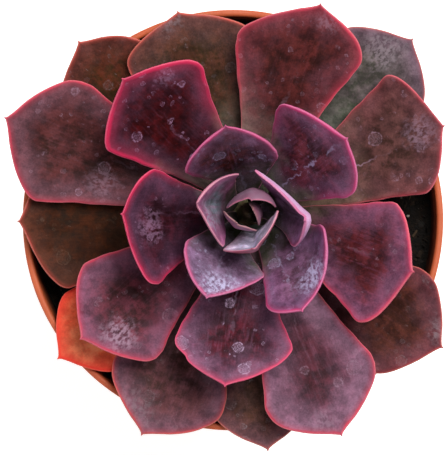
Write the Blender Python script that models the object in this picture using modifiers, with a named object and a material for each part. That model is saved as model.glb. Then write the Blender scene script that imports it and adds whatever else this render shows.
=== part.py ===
"""Potted echeveria: a rosette of fleshy leaves on a short stem, in the soil of a round nursery pot.

Metres, +Z up. The origin is the middle of the pot's underside.

The leaves follow one spiral. Each next leaf outwards starts 137.5 degrees further round and a little
lower on the stem, so every leaf lies under the ones inside it. A leaf's own row holds what differs from
that rule: how far its tip swings, how far it reaches, how high it lifts, and its outline.
"""
import math
from dataclasses import dataclass

import bmesh
import bpy
import numpy as np
from mathutils import Matrix, Vector, noise

MM = 0.001
CLEARANCE = 0.0003

# Pot
POT_HEIGHT = 0.095
RIM_RADIUS = 0.060
RIM_WIDTH = 0.002
BAND_HEIGHT = 0.014
BAND_TAPER = 0.0013
WALL = 0.0015
WALL_SLOPE = math.radians(8.0)
BASE_THICKNESS = 0.0018
SHOULDER_RADIUS = 0.057
RIM_STEPS = 4
LEDGE_RISE = 0.003
FLOOR_ROUNDING = 0.002
BAND_LIP = 0.0008
BAND_UNDERCUT = 0.0006
FOOT_BEVEL = 0.0012
HOLE_COUNT = 8
HOLE_RADIUS = 0.0035
HOLE_CIRCLE = 0.037
HOLE_SIDES = 12
POT_SIDES = 48

# Soil
SOIL_DEPTH = 0.0100
SOIL_DISH = 0.0020
SOIL_DISH_RADIUS = 0.030
SOIL_RINGS = (0.0, 0.008, 0.016, 0.024, 0.032, 0.040, 0.047, 0.0525)
# Width and height of the lumps, and how far they flatten out towards the wall
LUMP_SIZES = ((0.011, 0.0006), (0.0048, 0.0004))
EDGE_SETTLING = 0.7

# Stem
STEM_PLACE = Vector((0.0040, 0.0019, 0.0))
STEM_SIDES = 20
# Height above the rim and radius, from the growing tip down to the root end; the part from
# STEM_BURIED down stands in the soil's hole
STEM_BURIED = -0.0100
STEM_PROFILE = (
    (0.0210, 0.0),
    (0.0190, 0.0008),
    (0.0140, 0.0014),
    (0.0090, 0.0014),
    (0.0070, 0.0024),
    (0.0040, 0.0036),
    (0.0, 0.0046),
    (-0.0100, 0.0050),
    (-0.0260, 0.0044),
    (-0.0360, 0.0026),
    (-0.0400, 0.0),
)

# Spiral of the leaves
GOLDEN_ANGLE = 137.5
FIRST_DIRECTION = 335.0
LAST_PLACE = 27
LOWEST_ROOT = -8.5
ROOT_PITCH = 0.6

# Share of a leaf's length at each cross-section, and of its half width at each column
STATIONS = np.array((0.0, 0.10, 0.24, 0.38, 0.51, 0.62, 0.71, 0.78, 0.85, 0.91, 0.96, 1.0))
COLUMNS = np.array((-1.0, -0.72, -0.38, 0.0, 0.38, 0.72, 1.0))

# Share of a leaf's thickness above its middle surface: the upper face is flatter
UPPER_SHARE = 0.35

# Outline of a leaf: the wedge's power, the rounding of its corners as a share of the length, and the
# small point at the tip, in millimetres and as a share of the length
WEDGE_POWER = 1.12
CORNER_ROUNDING = 0.05
POINT_HALF_WIDTH = 2.4
POINT_LENGTH = 0.10
POINT_POWER = 1.5

# A folded half turns up over this distance from the midrib, in millimetres, and this share of the length
CREASE_WIDTH = 1.5
CREASE_GROWTH = 0.4

# Margins of a leaf: waves along its length, their shift from leaf to leaf and from side to side
WAVES = 1.4
WAVE_SHIFT = 0.37
WAVE_SIDE_SHIFT = 0.25

# What changes with a leaf's place on the spiral: slopes in degrees, the rest in millimetres
PLACES = (0, 3, 4, 8, 13, 19, 27)
ROOT_SLOPES = (84, 71, 64, 46, 27, 12, 6)
TIP_SLOPES = (100, 87, 78, 52, 36, 24, 20)
ROOT_HALF_WIDTHS = (1.6, 1.6, 1.6, 2.6, 2.6, 2.6, 2.6)
ROOT_THICKNESSES = (1.4, 1.4, 1.4, 2.2, 2.2, 2.2, 2.2)
BELLY_THICKNESSES = (1.9, 2.0, 2.8, 3.2, 4.2, 4.4, 4.2)
MARGIN_THICKNESSES = (0.75, 0.75, 0.9, 0.9, 1.0, 1.0, 1.0)
WAVE_HEIGHTS = (0.25, 0.25, 0.25, 0.5, 0.6, 0.6, 0.6)

# Thickness along a leaf: where the belly is, where it thins, and by how much
BELLY_PLACE = 0.4
THINNING_PLACE = 0.75
THINNING = 0.68


@dataclass(frozen=True)
class Leaf:
    """One leaf: lengths in millimetres, angles in degrees. Left is left as seen from the axis."""

    place: int
    turn: float
    reach: float
    lift: float
    left: float
    right: float
    shoulder_left: float = 0.76
    shoulder_right: float = 0.76
    full_left: float = 1.6
    full_right: float = 1.6
    cup_left: float = 12.0
    cup_right: float = 12.0
    fold_left: float = 0.0
    fold_right: float = 0.0
    root_slope: float = None
    tip_slope: float = None
    swing: float = 0.36

    @property
    def name(self):
        return f"leaf_{self.place:02d}"

    @property
    def direction(self):
        return FIRST_DIRECTION - GOLDEN_ANGLE * self.place

    @property
    def root_height(self):
        return LOWEST_ROOT + ROOT_PITCH * (LAST_PLACE - self.place)

    def by_place(self, values):
        return float(np.interp(self.place, PLACES, values))

    @property
    def slopes(self):
        root = self.by_place(ROOT_SLOPES) if self.root_slope is None else self.root_slope
        tip = self.by_place(TIP_SLOPES) if self.tip_slope is None else self.tip_slope
        return math.radians(root), math.radians(tip)


# place, turn, reach, lift, left, right
LEAVES = (
    Leaf(0, 54, 1.6, 30, 2.8, 4.6, 0.66, 0.66, 1.6, 1.6, 30, 30, tip_slope=95),
    Leaf(1, 24, 4.0, 31, 6.6, 4.8, 0.68, 0.68, 1.6, 1.6, 20, 14, 24, -12, tip_slope=95),
    Leaf(2, 14, 3.4, 33, 9.4, 7.6, 0.68, 0.68, 1.6, 2.2, 46, 56, 26, -12, root_slope=68, tip_slope=115),
    Leaf(3, -6, 9.6, 34, 13.4, 8.3, 0.66, 0.66, 1.1, 2, 24, 12, 36, 0, tip_slope=104),
    Leaf(4, 24, 14.3, 34, 13.8, 13.1, 0.66, 0.66, 1.1, 1.5, 18, 60, 26, 6),
    Leaf(5, -15, 15.4, 35, 20.0, 8.8, 0.56, 0.62, 1.8, 1.8, 12, 24, 47, 6, 46, 104, 0.43),
    Leaf(6, 14, 26, 35, 13.9, 11.4, 0.51, 0.50, 1.0, 2.6, 20, 29),
    Leaf(7, 12, 24.8, 35, 15.2, 12.4, 0.66, 0.52, 1.8, 2.0, 30, 24),
    Leaf(8, -16, 31, 34, 19.4, 8.4, 0.56, 0.78, 2.2, 2.8, 62, 8),
    Leaf(9, 3, 35, 31, 20, 12.8, 0.72, 0.72, 2.4, 2, 14, 14),
    Leaf(10, -3, 34.4, 31, 19.4, 13.6, 0.72, 0.72, 1.8, 3, 14, 14),
    Leaf(11, 0, 48.6, 25, 18, 16, 0.73, 0.73, full_right=2.1),
    Leaf(12, 8, 51.2, 24, 17.5, 19.3),
    Leaf(13, -7, 49.2, 22, 17.2, 18.8, shoulder_right=0.8, full_left=1.5, full_right=2.4),
    Leaf(14, 7, 58.8, 16, 18.2, 16.6, shoulder_right=0.74),
    Leaf(15, -1.8, 62.3, 16, 20.2, 16.8, 0.72, 0.81, 1.5, 2.3),
    Leaf(16, -2, 68, 14, 17.5, 17.4, full_right=2.4),
    Leaf(17, 1, 73.5, 12, 19.2, 18.4, full_left=1.7, full_right=1.8),
    Leaf(18, 4, 61, 9.5, 20.4, 15.6, 0.86, 0.78, 2.4, 1.8),
    Leaf(19, 2, 69.6, 8, 18.8, 17, full_left=2.2),
    Leaf(20, 4, 60.7, 6, 18.9, 18.6, 0.79, 0.79, full_left=3.2),
    Leaf(21, -2, 67.4, 6, 15.8, 18.4, full_left=1.6, full_right=2.0),
    Leaf(22, -8, 65.2, 5, 19.5, 17.4, full_left=2.0, full_right=2.5),
    Leaf(23, -6, 68.2, 7, 16.6, 16.8, 0.78, 0.78, 2.1, 2.0),
    Leaf(24, 0, 67.7, 4.5, 14.2, 15, 0.78, 0.78, 1.8, 2.2),
    Leaf(25, -3, 68.6, 4.8, 19, 14, 0.78, 0.78, 2.2, 2.0),
    Leaf(27, -5, 68, 3.6, 14, 14.5, 0.8, 0.8),
)

# Material names, base colours and roughness
FINISHES = {
    "terracotta_plastic": ((0.62, 0.19, 0.09), 0.5),
    "potting_soil": ((0.018, 0.013, 0.010), 0.95),
    "stem_skin": ((0.16, 0.15, 0.08), 0.7),
    "leaf_heart": ((0.16, 0.16, 0.17), 0.45),
    "leaf_inner": ((0.20, 0.12, 0.20), 0.45),
    "leaf_middle": ((0.11, 0.025, 0.04), 0.5),
    "leaf_outer": ((0.10, 0.05, 0.04), 0.55),
    "leaf_withered": ((0.60, 0.10, 0.06), 0.5),
}


def leaf_finish(place):
    """Leaves change colour outwards along the spiral."""
    if place == LAST_PLACE:
        return "leaf_withered"
    if place <= 4:
        return "leaf_heart"
    if place <= 8:
        return "leaf_inner"
    return "leaf_middle" if place <= 17 else "leaf_outer"


def clear_scene():
    for item in list(bpy.data.objects):
        bpy.data.objects.remove(item, do_unlink=True)


def make_collection(name):
    collection = bpy.data.collections.new(name)
    bpy.context.scene.collection.children.link(collection)
    return collection


def make_material(name):
    colour, roughness = FINISHES[name]
    material = bpy.data.materials.new(name)
    material.use_nodes = True
    shader = material.node_tree.nodes["Principled BSDF"]
    shader.inputs["Base Color"].default_value = (*colour, 1.0)
    shader.inputs["Roughness"].default_value = roughness
    shader.inputs["Metallic"].default_value = 0.0
    material.diffuse_color = (*colour, 1.0)
    return material


def add_object(name, mesh, collection, finish=None):
    item = bpy.data.objects.new(name, mesh)
    collection.objects.link(item)
    if finish is not None:
        mesh.materials.append(finish)
    return item


def turned(name, profile, sides, collection, finish=None):
    """Turn a profile of (radius, height) points about Z; it runs down the outer side."""
    mesh = bpy.data.meshes.new(name)
    points = [(radius, 0.0, height) for radius, height in profile]
    edges = [(i, i + 1) for i in range(len(points) - 1)]
    mesh.from_pydata(points, edges, [])
    item = add_object(name, mesh, collection, finish)
    screw = item.modifiers.new("turn", "SCREW")
    screw.axis = "Z"
    screw.steps = sides
    screw.render_steps = sides
    screw.use_merge_vertices = True
    screw.merge_threshold = 0.00005
    return item


def applied(item):
    """Replace an object's mesh with its evaluated one and drop its modifiers."""
    bpy.context.view_layer.update()
    evaluated = item.evaluated_get(bpy.context.evaluated_depsgraph_get())
    mesh = bpy.data.meshes.new_from_object(evaluated)
    item.modifiers.clear()
    item.data = mesh
    return item


def smooth(item, sharp_degrees=35.0):
    item.data.shade_smooth()
    item.data.set_sharp_from_angle(angle=math.radians(sharp_degrees))


def cut(item, cutter):
    boolean = item.modifiers.new("cut", "BOOLEAN")
    boolean.operation = "DIFFERENCE"
    boolean.solver = "EXACT"
    boolean.object = cutter


def hide_cutter(item):
    item.hide_render = True
    item.display_type = "WIRE"


def inner_wall(gap=0.0):
    """The pot's inner side as (radius, height) points from the floor's edge up to the rim."""
    shoulder = POT_HEIGHT - BAND_HEIGHT
    floor = BASE_THICKNESS + gap
    foot_radius = SHOULDER_RADIUS - shoulder * math.tan(WALL_SLOPE) - WALL - gap
    band_top = RIM_RADIUS - RIM_WIDTH - gap
    band_foot = band_top - BAND_TAPER * 0.6
    corner = floor + FLOOR_ROUNDING
    return [
        (foot_radius + floor * math.tan(WALL_SLOPE) - FLOOR_ROUNDING, floor),
        (foot_radius + corner * math.tan(WALL_SLOPE), corner),
        (SHOULDER_RADIUS - WALL - gap, shoulder),
        (band_foot, shoulder + LEDGE_RISE),
        (band_top, POT_HEIGHT - RIM_WIDTH / 2),
    ]


def build_pot(parts, cutters, finish):
    shoulder = POT_HEIGHT - BAND_HEIGHT
    foot_radius = SHOULDER_RADIUS - shoulder * math.tan(WALL_SLOPE)
    lip = RIM_WIDTH / 2
    rim = []
    for step in range(RIM_STEPS + 1):
        angle = math.pi * (1 - step / RIM_STEPS)
        radius = RIM_RADIUS - lip + lip * math.cos(angle)
        rim.append((radius, POT_HEIGHT - lip + lip * math.sin(angle)))
    profile = [(0.0, BASE_THICKNESS)] + inner_wall()[:-1] + rim
    profile += [
        (RIM_RADIUS - BAND_TAPER, shoulder + BAND_LIP),
        (RIM_RADIUS - BAND_TAPER - BAND_LIP, shoulder),
        (SHOULDER_RADIUS, shoulder - BAND_UNDERCUT),
        (foot_radius + FOOT_BEVEL * math.tan(WALL_SLOPE), FOOT_BEVEL),
        (foot_radius - FOOT_BEVEL, 0.0),
        (0.0, 0.0),
    ]
    pot = turned("pot", profile, POT_SIDES, parts, finish)

    holes = bmesh.new()
    for step in range(HOLE_COUNT):
        angle = 2 * math.pi * (step + 0.5) / HOLE_COUNT
        place = Vector((HOLE_CIRCLE * math.cos(angle), HOLE_CIRCLE * math.sin(angle), 0.0))
        bmesh.ops.create_cone(
            holes,
            cap_ends=True,
            segments=HOLE_SIDES,
            radius1=HOLE_RADIUS,
            radius2=HOLE_RADIUS,
            depth=4 * BASE_THICKNESS,
            matrix=Matrix.Translation(place),
        )
    mesh = bpy.data.meshes.new("drain_holes")
    holes.to_mesh(mesh)
    holes.free()
    cutter = add_object("drain_holes", mesh, cutters)
    hide_cutter(cutter)
    cut(pot, cutter)
    applied(pot)
    smooth(pot)


def soil_height(x, y):
    """Level of the soil: a shallow dish towards the stem, with lumps of two sizes."""
    outwards = math.hypot(x, y)
    level = POT_HEIGHT - SOIL_DEPTH - SOIL_DISH * math.exp(-((outwards / SOIL_DISH_RADIUS) ** 2))
    settled = 1 - EDGE_SETTLING * (outwards / RIM_RADIUS) ** 6
    for size, height in LUMP_SIZES:
        level += settled * height * noise.noise(Vector((x / size, y / size, size / MM)))
    return level


def build_soil(parts, cutters, finish):
    wall = inner_wall(CLEARANCE)[:-1]
    top = POT_HEIGHT - SOIL_DEPTH
    edge_low, edge_high = wall[-1], inner_wall(CLEARANCE)[-1]
    share = (top - edge_low[1]) / (edge_high[1] - edge_low[1])
    edge = (edge_low[0] + share * (edge_high[0] - edge_low[0]), top)
    outline = [(radius, top) for radius in SOIL_RINGS] + [edge] + wall[::-1]
    outline.append((0.0, wall[0][1]))
    soil = applied(turned("soil", outline, POT_SIDES, parts, finish))
    for vertex in soil.data.vertices:
        if abs(vertex.co.z - top) < 1e-6:
            vertex.co.z = soil_height(vertex.co.x, vertex.co.y)

    buried = [point for point in STEM_PROFILE if point[0] <= STEM_BURIED]
    hole_profile = [(0.0, POT_HEIGHT), (buried[0][1] + CLEARANCE, POT_HEIGHT)]
    for height, radius in buried[:-1]:
        hole_profile.append((radius + CLEARANCE, POT_HEIGHT + height))
    hole_profile.append((0.0, POT_HEIGHT + buried[-1][0] - 2 * CLEARANCE))
    hole = turned("stem_hole", hole_profile, STEM_SIDES, cutters)
    hole.location = STEM_PLACE
    applied(hole)
    hide_cutter(hole)
    cut(soil, hole)
    applied(soil)


def build_stem(parts, finish):
    profile = [(radius, POT_HEIGHT + height) for height, radius in STEM_PROFILE]
    stem = turned("stem", profile, STEM_SIDES, parts, finish)
    stem.location = STEM_PLACE
    applied(stem)
    smooth(stem, 60.0)


def stem_radius(height):
    """Radius of the stem in millimetres at a height above the rim in millimetres."""
    heights = [point[0] / MM for point in reversed(STEM_PROFILE)]
    radii = [point[1] / MM for point in reversed(STEM_PROFILE)]
    return float(np.interp(height, heights, radii))


def flank(leaf, along, half_width, shoulder, full):
    """Half width: a wedge widening to the shoulder, then a curve closing to the tip."""
    root = leaf.by_place(ROOT_HALF_WIDTHS)
    wedge = root + (half_width - root) * np.clip(along / shoulder, 0, 1) ** WEDGE_POWER
    beyond = np.clip((along - shoulder) / (1 - shoulder), 0, 1)
    return np.where(along <= shoulder, wedge, half_width * (1 - beyond**full))


def half_widths(leaf, along, left):
    """The flank with its corner rounded over three samples, and a small point at the tip."""
    half_width = leaf.left if left else leaf.right
    shoulder = leaf.shoulder_left if left else leaf.shoulder_right
    full = leaf.full_left if left else leaf.full_right
    width = 0.5 * flank(leaf, along, half_width, shoulder, full)
    for shift in (-CORNER_ROUNDING, CORNER_ROUNDING):
        width += 0.25 * flank(leaf, np.clip(along + shift, 0, 1), half_width, shoulder, full)
    width *= np.clip((1 - along) / CORNER_ROUNDING, 0, 1) ** 0.5
    point = POINT_HALF_WIDTH * np.clip((1 - along) / POINT_LENGTH, 0, 1) ** POINT_POWER
    return np.where(along > 1 - POINT_LENGTH, np.maximum(width, point), width)


def midrib(leaf, samples=400):
    """The leaf's centre line: a Bezier curve in its upright plane, turned sideways by its turn."""
    root_slope, tip_slope = leaf.slopes
    start_radius = stem_radius(leaf.root_height) + CLEARANCE / MM
    start_radius += UPPER_SHARE * leaf.by_place(ROOT_THICKNESSES) * math.sin(root_slope)
    start = np.array((start_radius, leaf.root_height))
    end = np.array((leaf.reach, leaf.lift))
    arm = leaf.swing * np.linalg.norm(end - start)
    first = start + arm * np.array((math.cos(root_slope), math.sin(root_slope)))
    second = end - arm * np.array((math.cos(tip_slope), math.sin(tip_slope)))
    u = np.linspace(0, 1, samples)[:, None]
    curve = (1 - u) ** 3 * start + 3 * (1 - u) ** 2 * u * first
    curve += 3 * (1 - u) * u**2 * second + u**3 * end
    steps = np.linalg.norm(np.diff(curve, axis=0), axis=1)
    length = np.concatenate(((0.0,), np.cumsum(steps)))
    along = np.linspace(0, 1, samples)
    radius = np.interp(along * length[-1], length, curve[:, 0])
    height = np.interp(along * length[-1], length, curve[:, 1])
    angle = np.radians(leaf.direction + leaf.turn * (1 - (1 - along) ** 2))
    points = np.stack((radius * np.cos(angle), radius * np.sin(angle), height), axis=1)
    sideways = np.stack((-np.sin(angle), np.cos(angle), 0 * angle), axis=1)
    return along, points, sideways


def unit(vectors):
    return vectors / np.linalg.norm(vectors, axis=-1, keepdims=True)


def leaf_faces(leaf, stations, columns):
    """Upper and lower face as grids of points, in millimetres from the axis at the rim's level.

    Each cross-section is an arc that curls up by the leaf's cup angle at either margin, thickest
    at the midrib and blunt at the margin. Either half is turned up about the midrib by its fold.
    """
    along, points, sideways = midrib(leaf)
    tangents = unit(np.gradient(points, axis=0))
    centre = np.stack([np.interp(stations, along, points[:, k]) for k in range(3)], axis=1)
    tangent = unit(np.stack([np.interp(stations, along, tangents[:, k]) for k in range(3)], axis=1))
    across = np.stack([np.interp(stations, along, sideways[:, k]) for k in range(3)], axis=1)
    across = unit(across - tangent * (across * tangent).sum(axis=1, keepdims=True))
    up = np.cross(tangent, across)

    is_left = columns >= 0
    widths = np.where(
        is_left[None, :],
        half_widths(leaf, stations, True)[:, None],
        half_widths(leaf, stations, False)[:, None],
    )
    offset = columns[None, :] * widths
    full_width = np.where(is_left, leaf.left, leaf.right)[None, :]
    cup = np.radians(np.where(is_left, leaf.cup_left, leaf.cup_right))[None, :]
    bend_radius = full_width / cup
    bend = offset / bend_radius
    out, rise = bend_radius * np.sin(bend), bend_radius * (1 - np.cos(bend))
    fold = np.radians(np.where(is_left, leaf.fold_left, -leaf.fold_right))[None, :]
    fold = fold * np.clip(stations / CREASE_GROWTH, 0, 1)[:, None]
    fold = fold * (1 - np.exp(-((offset / CREASE_WIDTH) ** 2)))
    out, rise = out * np.cos(fold) - rise * np.sin(fold), out * np.sin(fold) + rise * np.cos(fold)
    middle = centre[:, None, :] + across[:, None, :] * out[..., None] + up[:, None, :] * rise[..., None]
    bend = bend + fold
    normal = up[:, None, :] * np.cos(bend)[..., None] - across[:, None, :] * np.sin(bend)[..., None]

    phase = WAVES * stations[:, None] + WAVE_SHIFT * leaf.place
    phase = phase + WAVE_SIDE_SHIFT * np.sign(columns)[None, :]
    wave = leaf.by_place(WAVE_HEIGHTS) * (offset / full_width) ** 2 * np.sin(2 * np.pi * phase)
    middle = middle + normal * wave[..., None]

    belly = leaf.by_place(BELLY_THICKNESSES)
    margin = leaf.by_place(MARGIN_THICKNESSES)
    thickness = np.interp(
        stations,
        (0, BELLY_PLACE, THINNING_PLACE, 1),
        (leaf.by_place(ROOT_THICKNESSES), belly, THINNING * belly, margin),
    )
    lens = np.clip(1 - columns**2, 0, 1) ** 0.8
    depth = margin + (thickness[:, None] - margin) * lens[None, :]
    upper = middle + normal * (UPPER_SHARE * depth)[..., None]
    lower = middle - normal * ((1 - UPPER_SHARE) * depth)[..., None]
    return upper, lower


def build_leaf(leaf, parts, finish):
    """Loft the rings of the leaf's cross-sections, closed by a cap at the root and a point at the tip."""
    upper, lower = leaf_faces(leaf, STATIONS, COLUMNS)
    tip = (upper[-1].mean(axis=0) + lower[-1].mean(axis=0)) / 2
    rings = np.concatenate((upper[:-1], lower[:-1, ::-1]), axis=1)
    count, sides = rings.shape[:2]
    columns = len(COLUMNS)
    vertices = np.concatenate((rings.reshape(-1, 3), tip[None, :])) * MM
    faces = []
    for ring in range(count - 1):
        for side in range(sides):
            after = (side + 1) % sides
            a, b = ring * sides + side, ring * sides + after
            c, d = a + sides, b + sides
            if side < columns:
                faces += [(a, c, d), (a, d, b)]
            else:
                faces += [(a, c, b), (b, c, d)]
    last = (count - 1) * sides
    for side in range(sides):
        faces.append((last + side, count * sides, last + (side + 1) % sides))
    for column in range(columns - 1):
        a, b = column, column + 1
        c, d = sides - 1 - b, sides - 1 - a
        faces += [(a, b, c), (a, c, d)]
    mesh = bpy.data.meshes.new(leaf.name)
    mesh.from_pydata(vertices.tolist(), [], faces)
    mesh.validate()
    item = add_object(leaf.name, mesh, parts, finish)
    item.location = STEM_PLACE + Vector((0.0, 0.0, POT_HEIGHT))
    smooth(item, 50.0)


def main():
    clear_scene()
    parts = make_collection("potted_echeveria")
    cutters = make_collection("cutters")
    finishes = {name: make_material(name) for name in FINISHES}
    build_pot(parts, cutters, finishes["terracotta_plastic"])
    build_soil(parts, cutters, finishes["potting_soil"])
    build_stem(parts, finishes["stem_skin"])
    for leaf in LEAVES:
        build_leaf(leaf, parts, finishes[leaf_finish(leaf.place)])


main()
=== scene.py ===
"""Looks of a potted echeveria: a rosette of plum-red leaves, its stem, dark soil and a round pot.

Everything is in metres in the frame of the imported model, +Z up, with the origin in the middle of the
pot's underside. Leaf sizes are in millimetres, heights of the plant are counted from the pot's rim.
"""
import logging
import math
from dataclasses import dataclass, replace
from enum import Enum

import bpy
import numpy as np
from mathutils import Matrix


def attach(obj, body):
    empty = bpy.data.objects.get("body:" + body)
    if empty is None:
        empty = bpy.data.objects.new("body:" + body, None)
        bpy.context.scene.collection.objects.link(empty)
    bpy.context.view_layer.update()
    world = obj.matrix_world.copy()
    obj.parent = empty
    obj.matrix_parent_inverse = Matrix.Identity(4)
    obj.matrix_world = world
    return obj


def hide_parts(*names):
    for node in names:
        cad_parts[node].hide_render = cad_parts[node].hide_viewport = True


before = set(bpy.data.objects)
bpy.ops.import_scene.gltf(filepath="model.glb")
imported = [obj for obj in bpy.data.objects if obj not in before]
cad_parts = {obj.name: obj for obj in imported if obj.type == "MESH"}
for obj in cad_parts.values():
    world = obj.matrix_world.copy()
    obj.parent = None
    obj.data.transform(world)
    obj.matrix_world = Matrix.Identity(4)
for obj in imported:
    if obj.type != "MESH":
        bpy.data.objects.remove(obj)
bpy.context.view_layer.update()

MM = 0.001
BODY = "root"
Colour = tuple[float, float, float]
Array = np.ndarray

log = logging.getLogger("potted_echeveria")


def srgb(red: int, green: int, blue: int) -> Colour:
    """Turn a colour of 0 to 255 steps, as the eye reads it, into linear light.

    Args:
        red: Red step.
        green: Green step.
        blue: Blue step.

    Returns:
        The three channels from 0 to 1.
    """
    steps = np.array((red, green, blue)) / 255
    low = steps / 12.92
    high = ((steps + 0.055) / 1.055) ** 2.4
    return tuple(float(value) for value in np.where(steps <= 0.04045, low, high))


def lattice_noise(x: Array, y: Array, seed: int) -> Array:
    """Smooth random heights: a random value at each whole number, eased from one to the next.

    Args:
        x: First coordinate, one unit to a cell.
        y: Second coordinate.
        seed: Seed of the random values.

    Returns:
        Heights from -1 to 1, in the shape of x.
    """
    table = np.random.default_rng(seed).uniform(-1, 1, (64, 64))
    column, row = np.floor(x).astype(int), np.floor(y).astype(int)
    right, up = x - column, y - row
    right, up = (share * share * (3 - 2 * share) for share in (right, up))
    corner = [table[(column + i) % 64, (row + j) % 64] for i in (0, 1) for j in (0, 1)]
    near = corner[0] * (1 - up) + corner[1] * up
    far = corner[2] * (1 - up) + corner[3] * up
    return near * (1 - right) + far * right


def unit(vectors: Array) -> Array:
    """Scale vectors along the last axis to length one."""
    return vectors / np.linalg.norm(vectors, axis=-1, keepdims=True)


def smooth_share(value: Array, low: float, high: float) -> Array:
    """Share of the way from low to high, eased at both ends and held between 0 and 1."""
    share = np.clip((value - low) / (high - low), 0.0, 1.0)
    return share * share * (3 - 2 * share)


def full_turn(count: int) -> Array:
    """Angles in radians, evenly spaced round a full turn."""
    return np.linspace(0, 2 * np.pi, count, endpoint=False)


def around_axis(radius: Array, height: Array, angle: Array) -> Array:
    """Points round the Z axis, in the shape that the three values have together.

    Args:
        radius: Distances from the axis.
        height: Heights.
        angle: Angles in radians.

    Returns:
        The points, with their coordinates along a last axis.
    """
    return np.stack(np.broadcast_arrays(radius * np.cos(angle), radius * np.sin(angle), height), axis=-1)


def tube_faces(rings: int, sides: int) -> Array:
    """Quads between each ring of points and the next, each ring closed on itself.

    Args:
        rings: Number of rings.
        sides: Points in a ring.

    Returns:
        Four point numbers to a row.
    """
    ring, side = np.meshgrid(np.arange(rings - 1), np.arange(sides), indexing="ij")
    after = (side + 1) % sides
    corners = (ring * sides + side, ring * sides + after)
    corners += (corners[1] + sides, corners[0] + sides)
    return np.stack(corners, axis=-1).reshape(-1, 4)


def closed_tube(rings: Array, first: Array, last: Array) -> tuple[Array, list]:
    """Close a stack of rings with a fan of triangles to a pole at either end.

    Args:
        rings: Points as (ring, side, 3).
        first: Pole before the first ring.
        last: Pole after the last ring.

    Returns:
        The points as rows, and the faces as lists of point numbers.
    """
    count, sides = rings.shape[:2]
    points = np.concatenate((rings.reshape(-1, 3), first[None], last[None]))
    side = np.arange(sides)
    after = (side + 1) % sides
    base = (count - 1) * sides
    start = np.stack((after, side, np.full(sides, count * sides)), axis=1)
    end = np.stack((base + side, base + after, np.full(sides, count * sides + 1)), axis=1)
    faces = tube_faces(count, sides).tolist() + start.tolist() + end.tolist()
    corners = np.array([face[:3] for face in faces])
    corners = np.concatenate((corners, np.array([(f[0], f[2], f[-1]) for f in faces if len(f) == 4])))
    a, b, c = (points[corners[:, k]] for k in range(3))
    if (np.cross(a, b) * c).sum() < 0:
        faces = [face[::-1] for face in faces]
    return points, faces


def add_piece(name: str, points: Array, faces: list, sharp: float = 180.0) -> bpy.types.Object:
    """Make a shaded object at the origin from points in metres.

    Args:
        name: The piece's name.
        points: Points as rows.
        faces: Lists of point numbers.
        sharp: Angle between faces, in degrees, past which an edge stays sharp.

    Returns:
        The object, linked to the scene.
    """
    mesh = bpy.data.meshes.new(name)
    mesh.from_pydata(points, [], faces)
    mesh.update()
    mesh.shade_smooth()
    mesh.set_sharp_from_angle(angle=math.radians(sharp))
    piece = bpy.data.objects.new(name, mesh)
    bpy.context.scene.collection.objects.link(piece)
    return piece


def add_values(piece: bpy.types.Object, name: str, values: Array) -> None:
    """Store one number or one vector for each point under a name that a material reads.

    Args:
        piece: The object.
        name: Name of the attribute.
        values: One row for each point.
    """
    is_vector = values.ndim == 2
    kind = "FLOAT_VECTOR" if is_vector else "FLOAT"
    stored = piece.data.attributes.new(name, kind, "POINT")
    stored.data.foreach_set("vector" if is_vector else "value", values.astype(np.float32).ravel())


def settle(piece: bpy.types.Object, material: bpy.types.Material, slot: str, *nodes: str) -> None:
    """Dress a finished piece, put it on the object's body in place of its solids, and report it.

    Args:
        piece: The object.
        material: Its material.
        slot: The record's material slot.
        nodes: Names of the solids that it stands for.
    """
    piece.data.materials.append(material)
    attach(piece, BODY)
    if nodes:
        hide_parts(*nodes)
    log.info("%s: %d faces, slot %s", piece.name, len(piece.data.polygons), slot)


class Value:
    """A node's output that reads like a number: each step of arithmetic adds a node to its graph."""

    def __init__(self, graph: "Graph", socket: bpy.types.NodeSocket) -> None:
        """Keep the output and its graph."""
        self.graph, self.socket = graph, socket

    def __add__(self, other: object) -> "Value":
        """Sum of the two."""
        return self.graph.math("ADD", self, other)

    def __sub__(self, other: object) -> "Value":
        """This value less the other."""
        return self.graph.math("SUBTRACT", self, other)

    def __rsub__(self, other: object) -> "Value":
        """A plain number less this value."""
        return self.graph.math("SUBTRACT", other, self)

    def __mul__(self, other: object) -> "Value":
        """Product of the two."""
        return self.graph.math("MULTIPLY", self, other)

    def __truediv__(self, other: object) -> "Value":
        """This value divided by the other."""
        return self.graph.math("DIVIDE", self, other)

    def __pow__(self, other: object) -> "Value":
        """Power of this value."""
        return self.graph.math("POWER", self, other)

    def __abs__(self) -> "Value":
        """Amount without its sign."""
        return self.graph.math("ABSOLUTE", self)

    def root(self) -> "Value":
        """Square root."""
        return self.graph.math("SQRT", self)

    def below(self, limit: object) -> "Value":
        """One where this value is below the limit, else nothing."""
        return self.graph.math("LESS_THAN", self, limit)

    def most(self, other: object) -> "Value":
        """The greater of the two."""
        return self.graph.math("MAXIMUM", self, other)

    def ragged(self, pattern: "Value", height: object) -> "Value":
        """This value shifted by a pattern from 0 to 1, half the height each way."""
        return self + (pattern - 0.5) * height

    def ease(self, low: object, high: object) -> "Value":
        """Share of the way from low to high, eased at both ends."""
        inputs = dict(enumerate((self, low, high, 0.0, 1.0)))
        return self.graph.out("MapRange", inputs, interpolation_type="SMOOTHSTEP")

    def fall(self, low: object, high: object) -> "Value":
        """One below low, nothing above high, eased between."""
        return 1.0 - self.ease(low, high)


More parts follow.
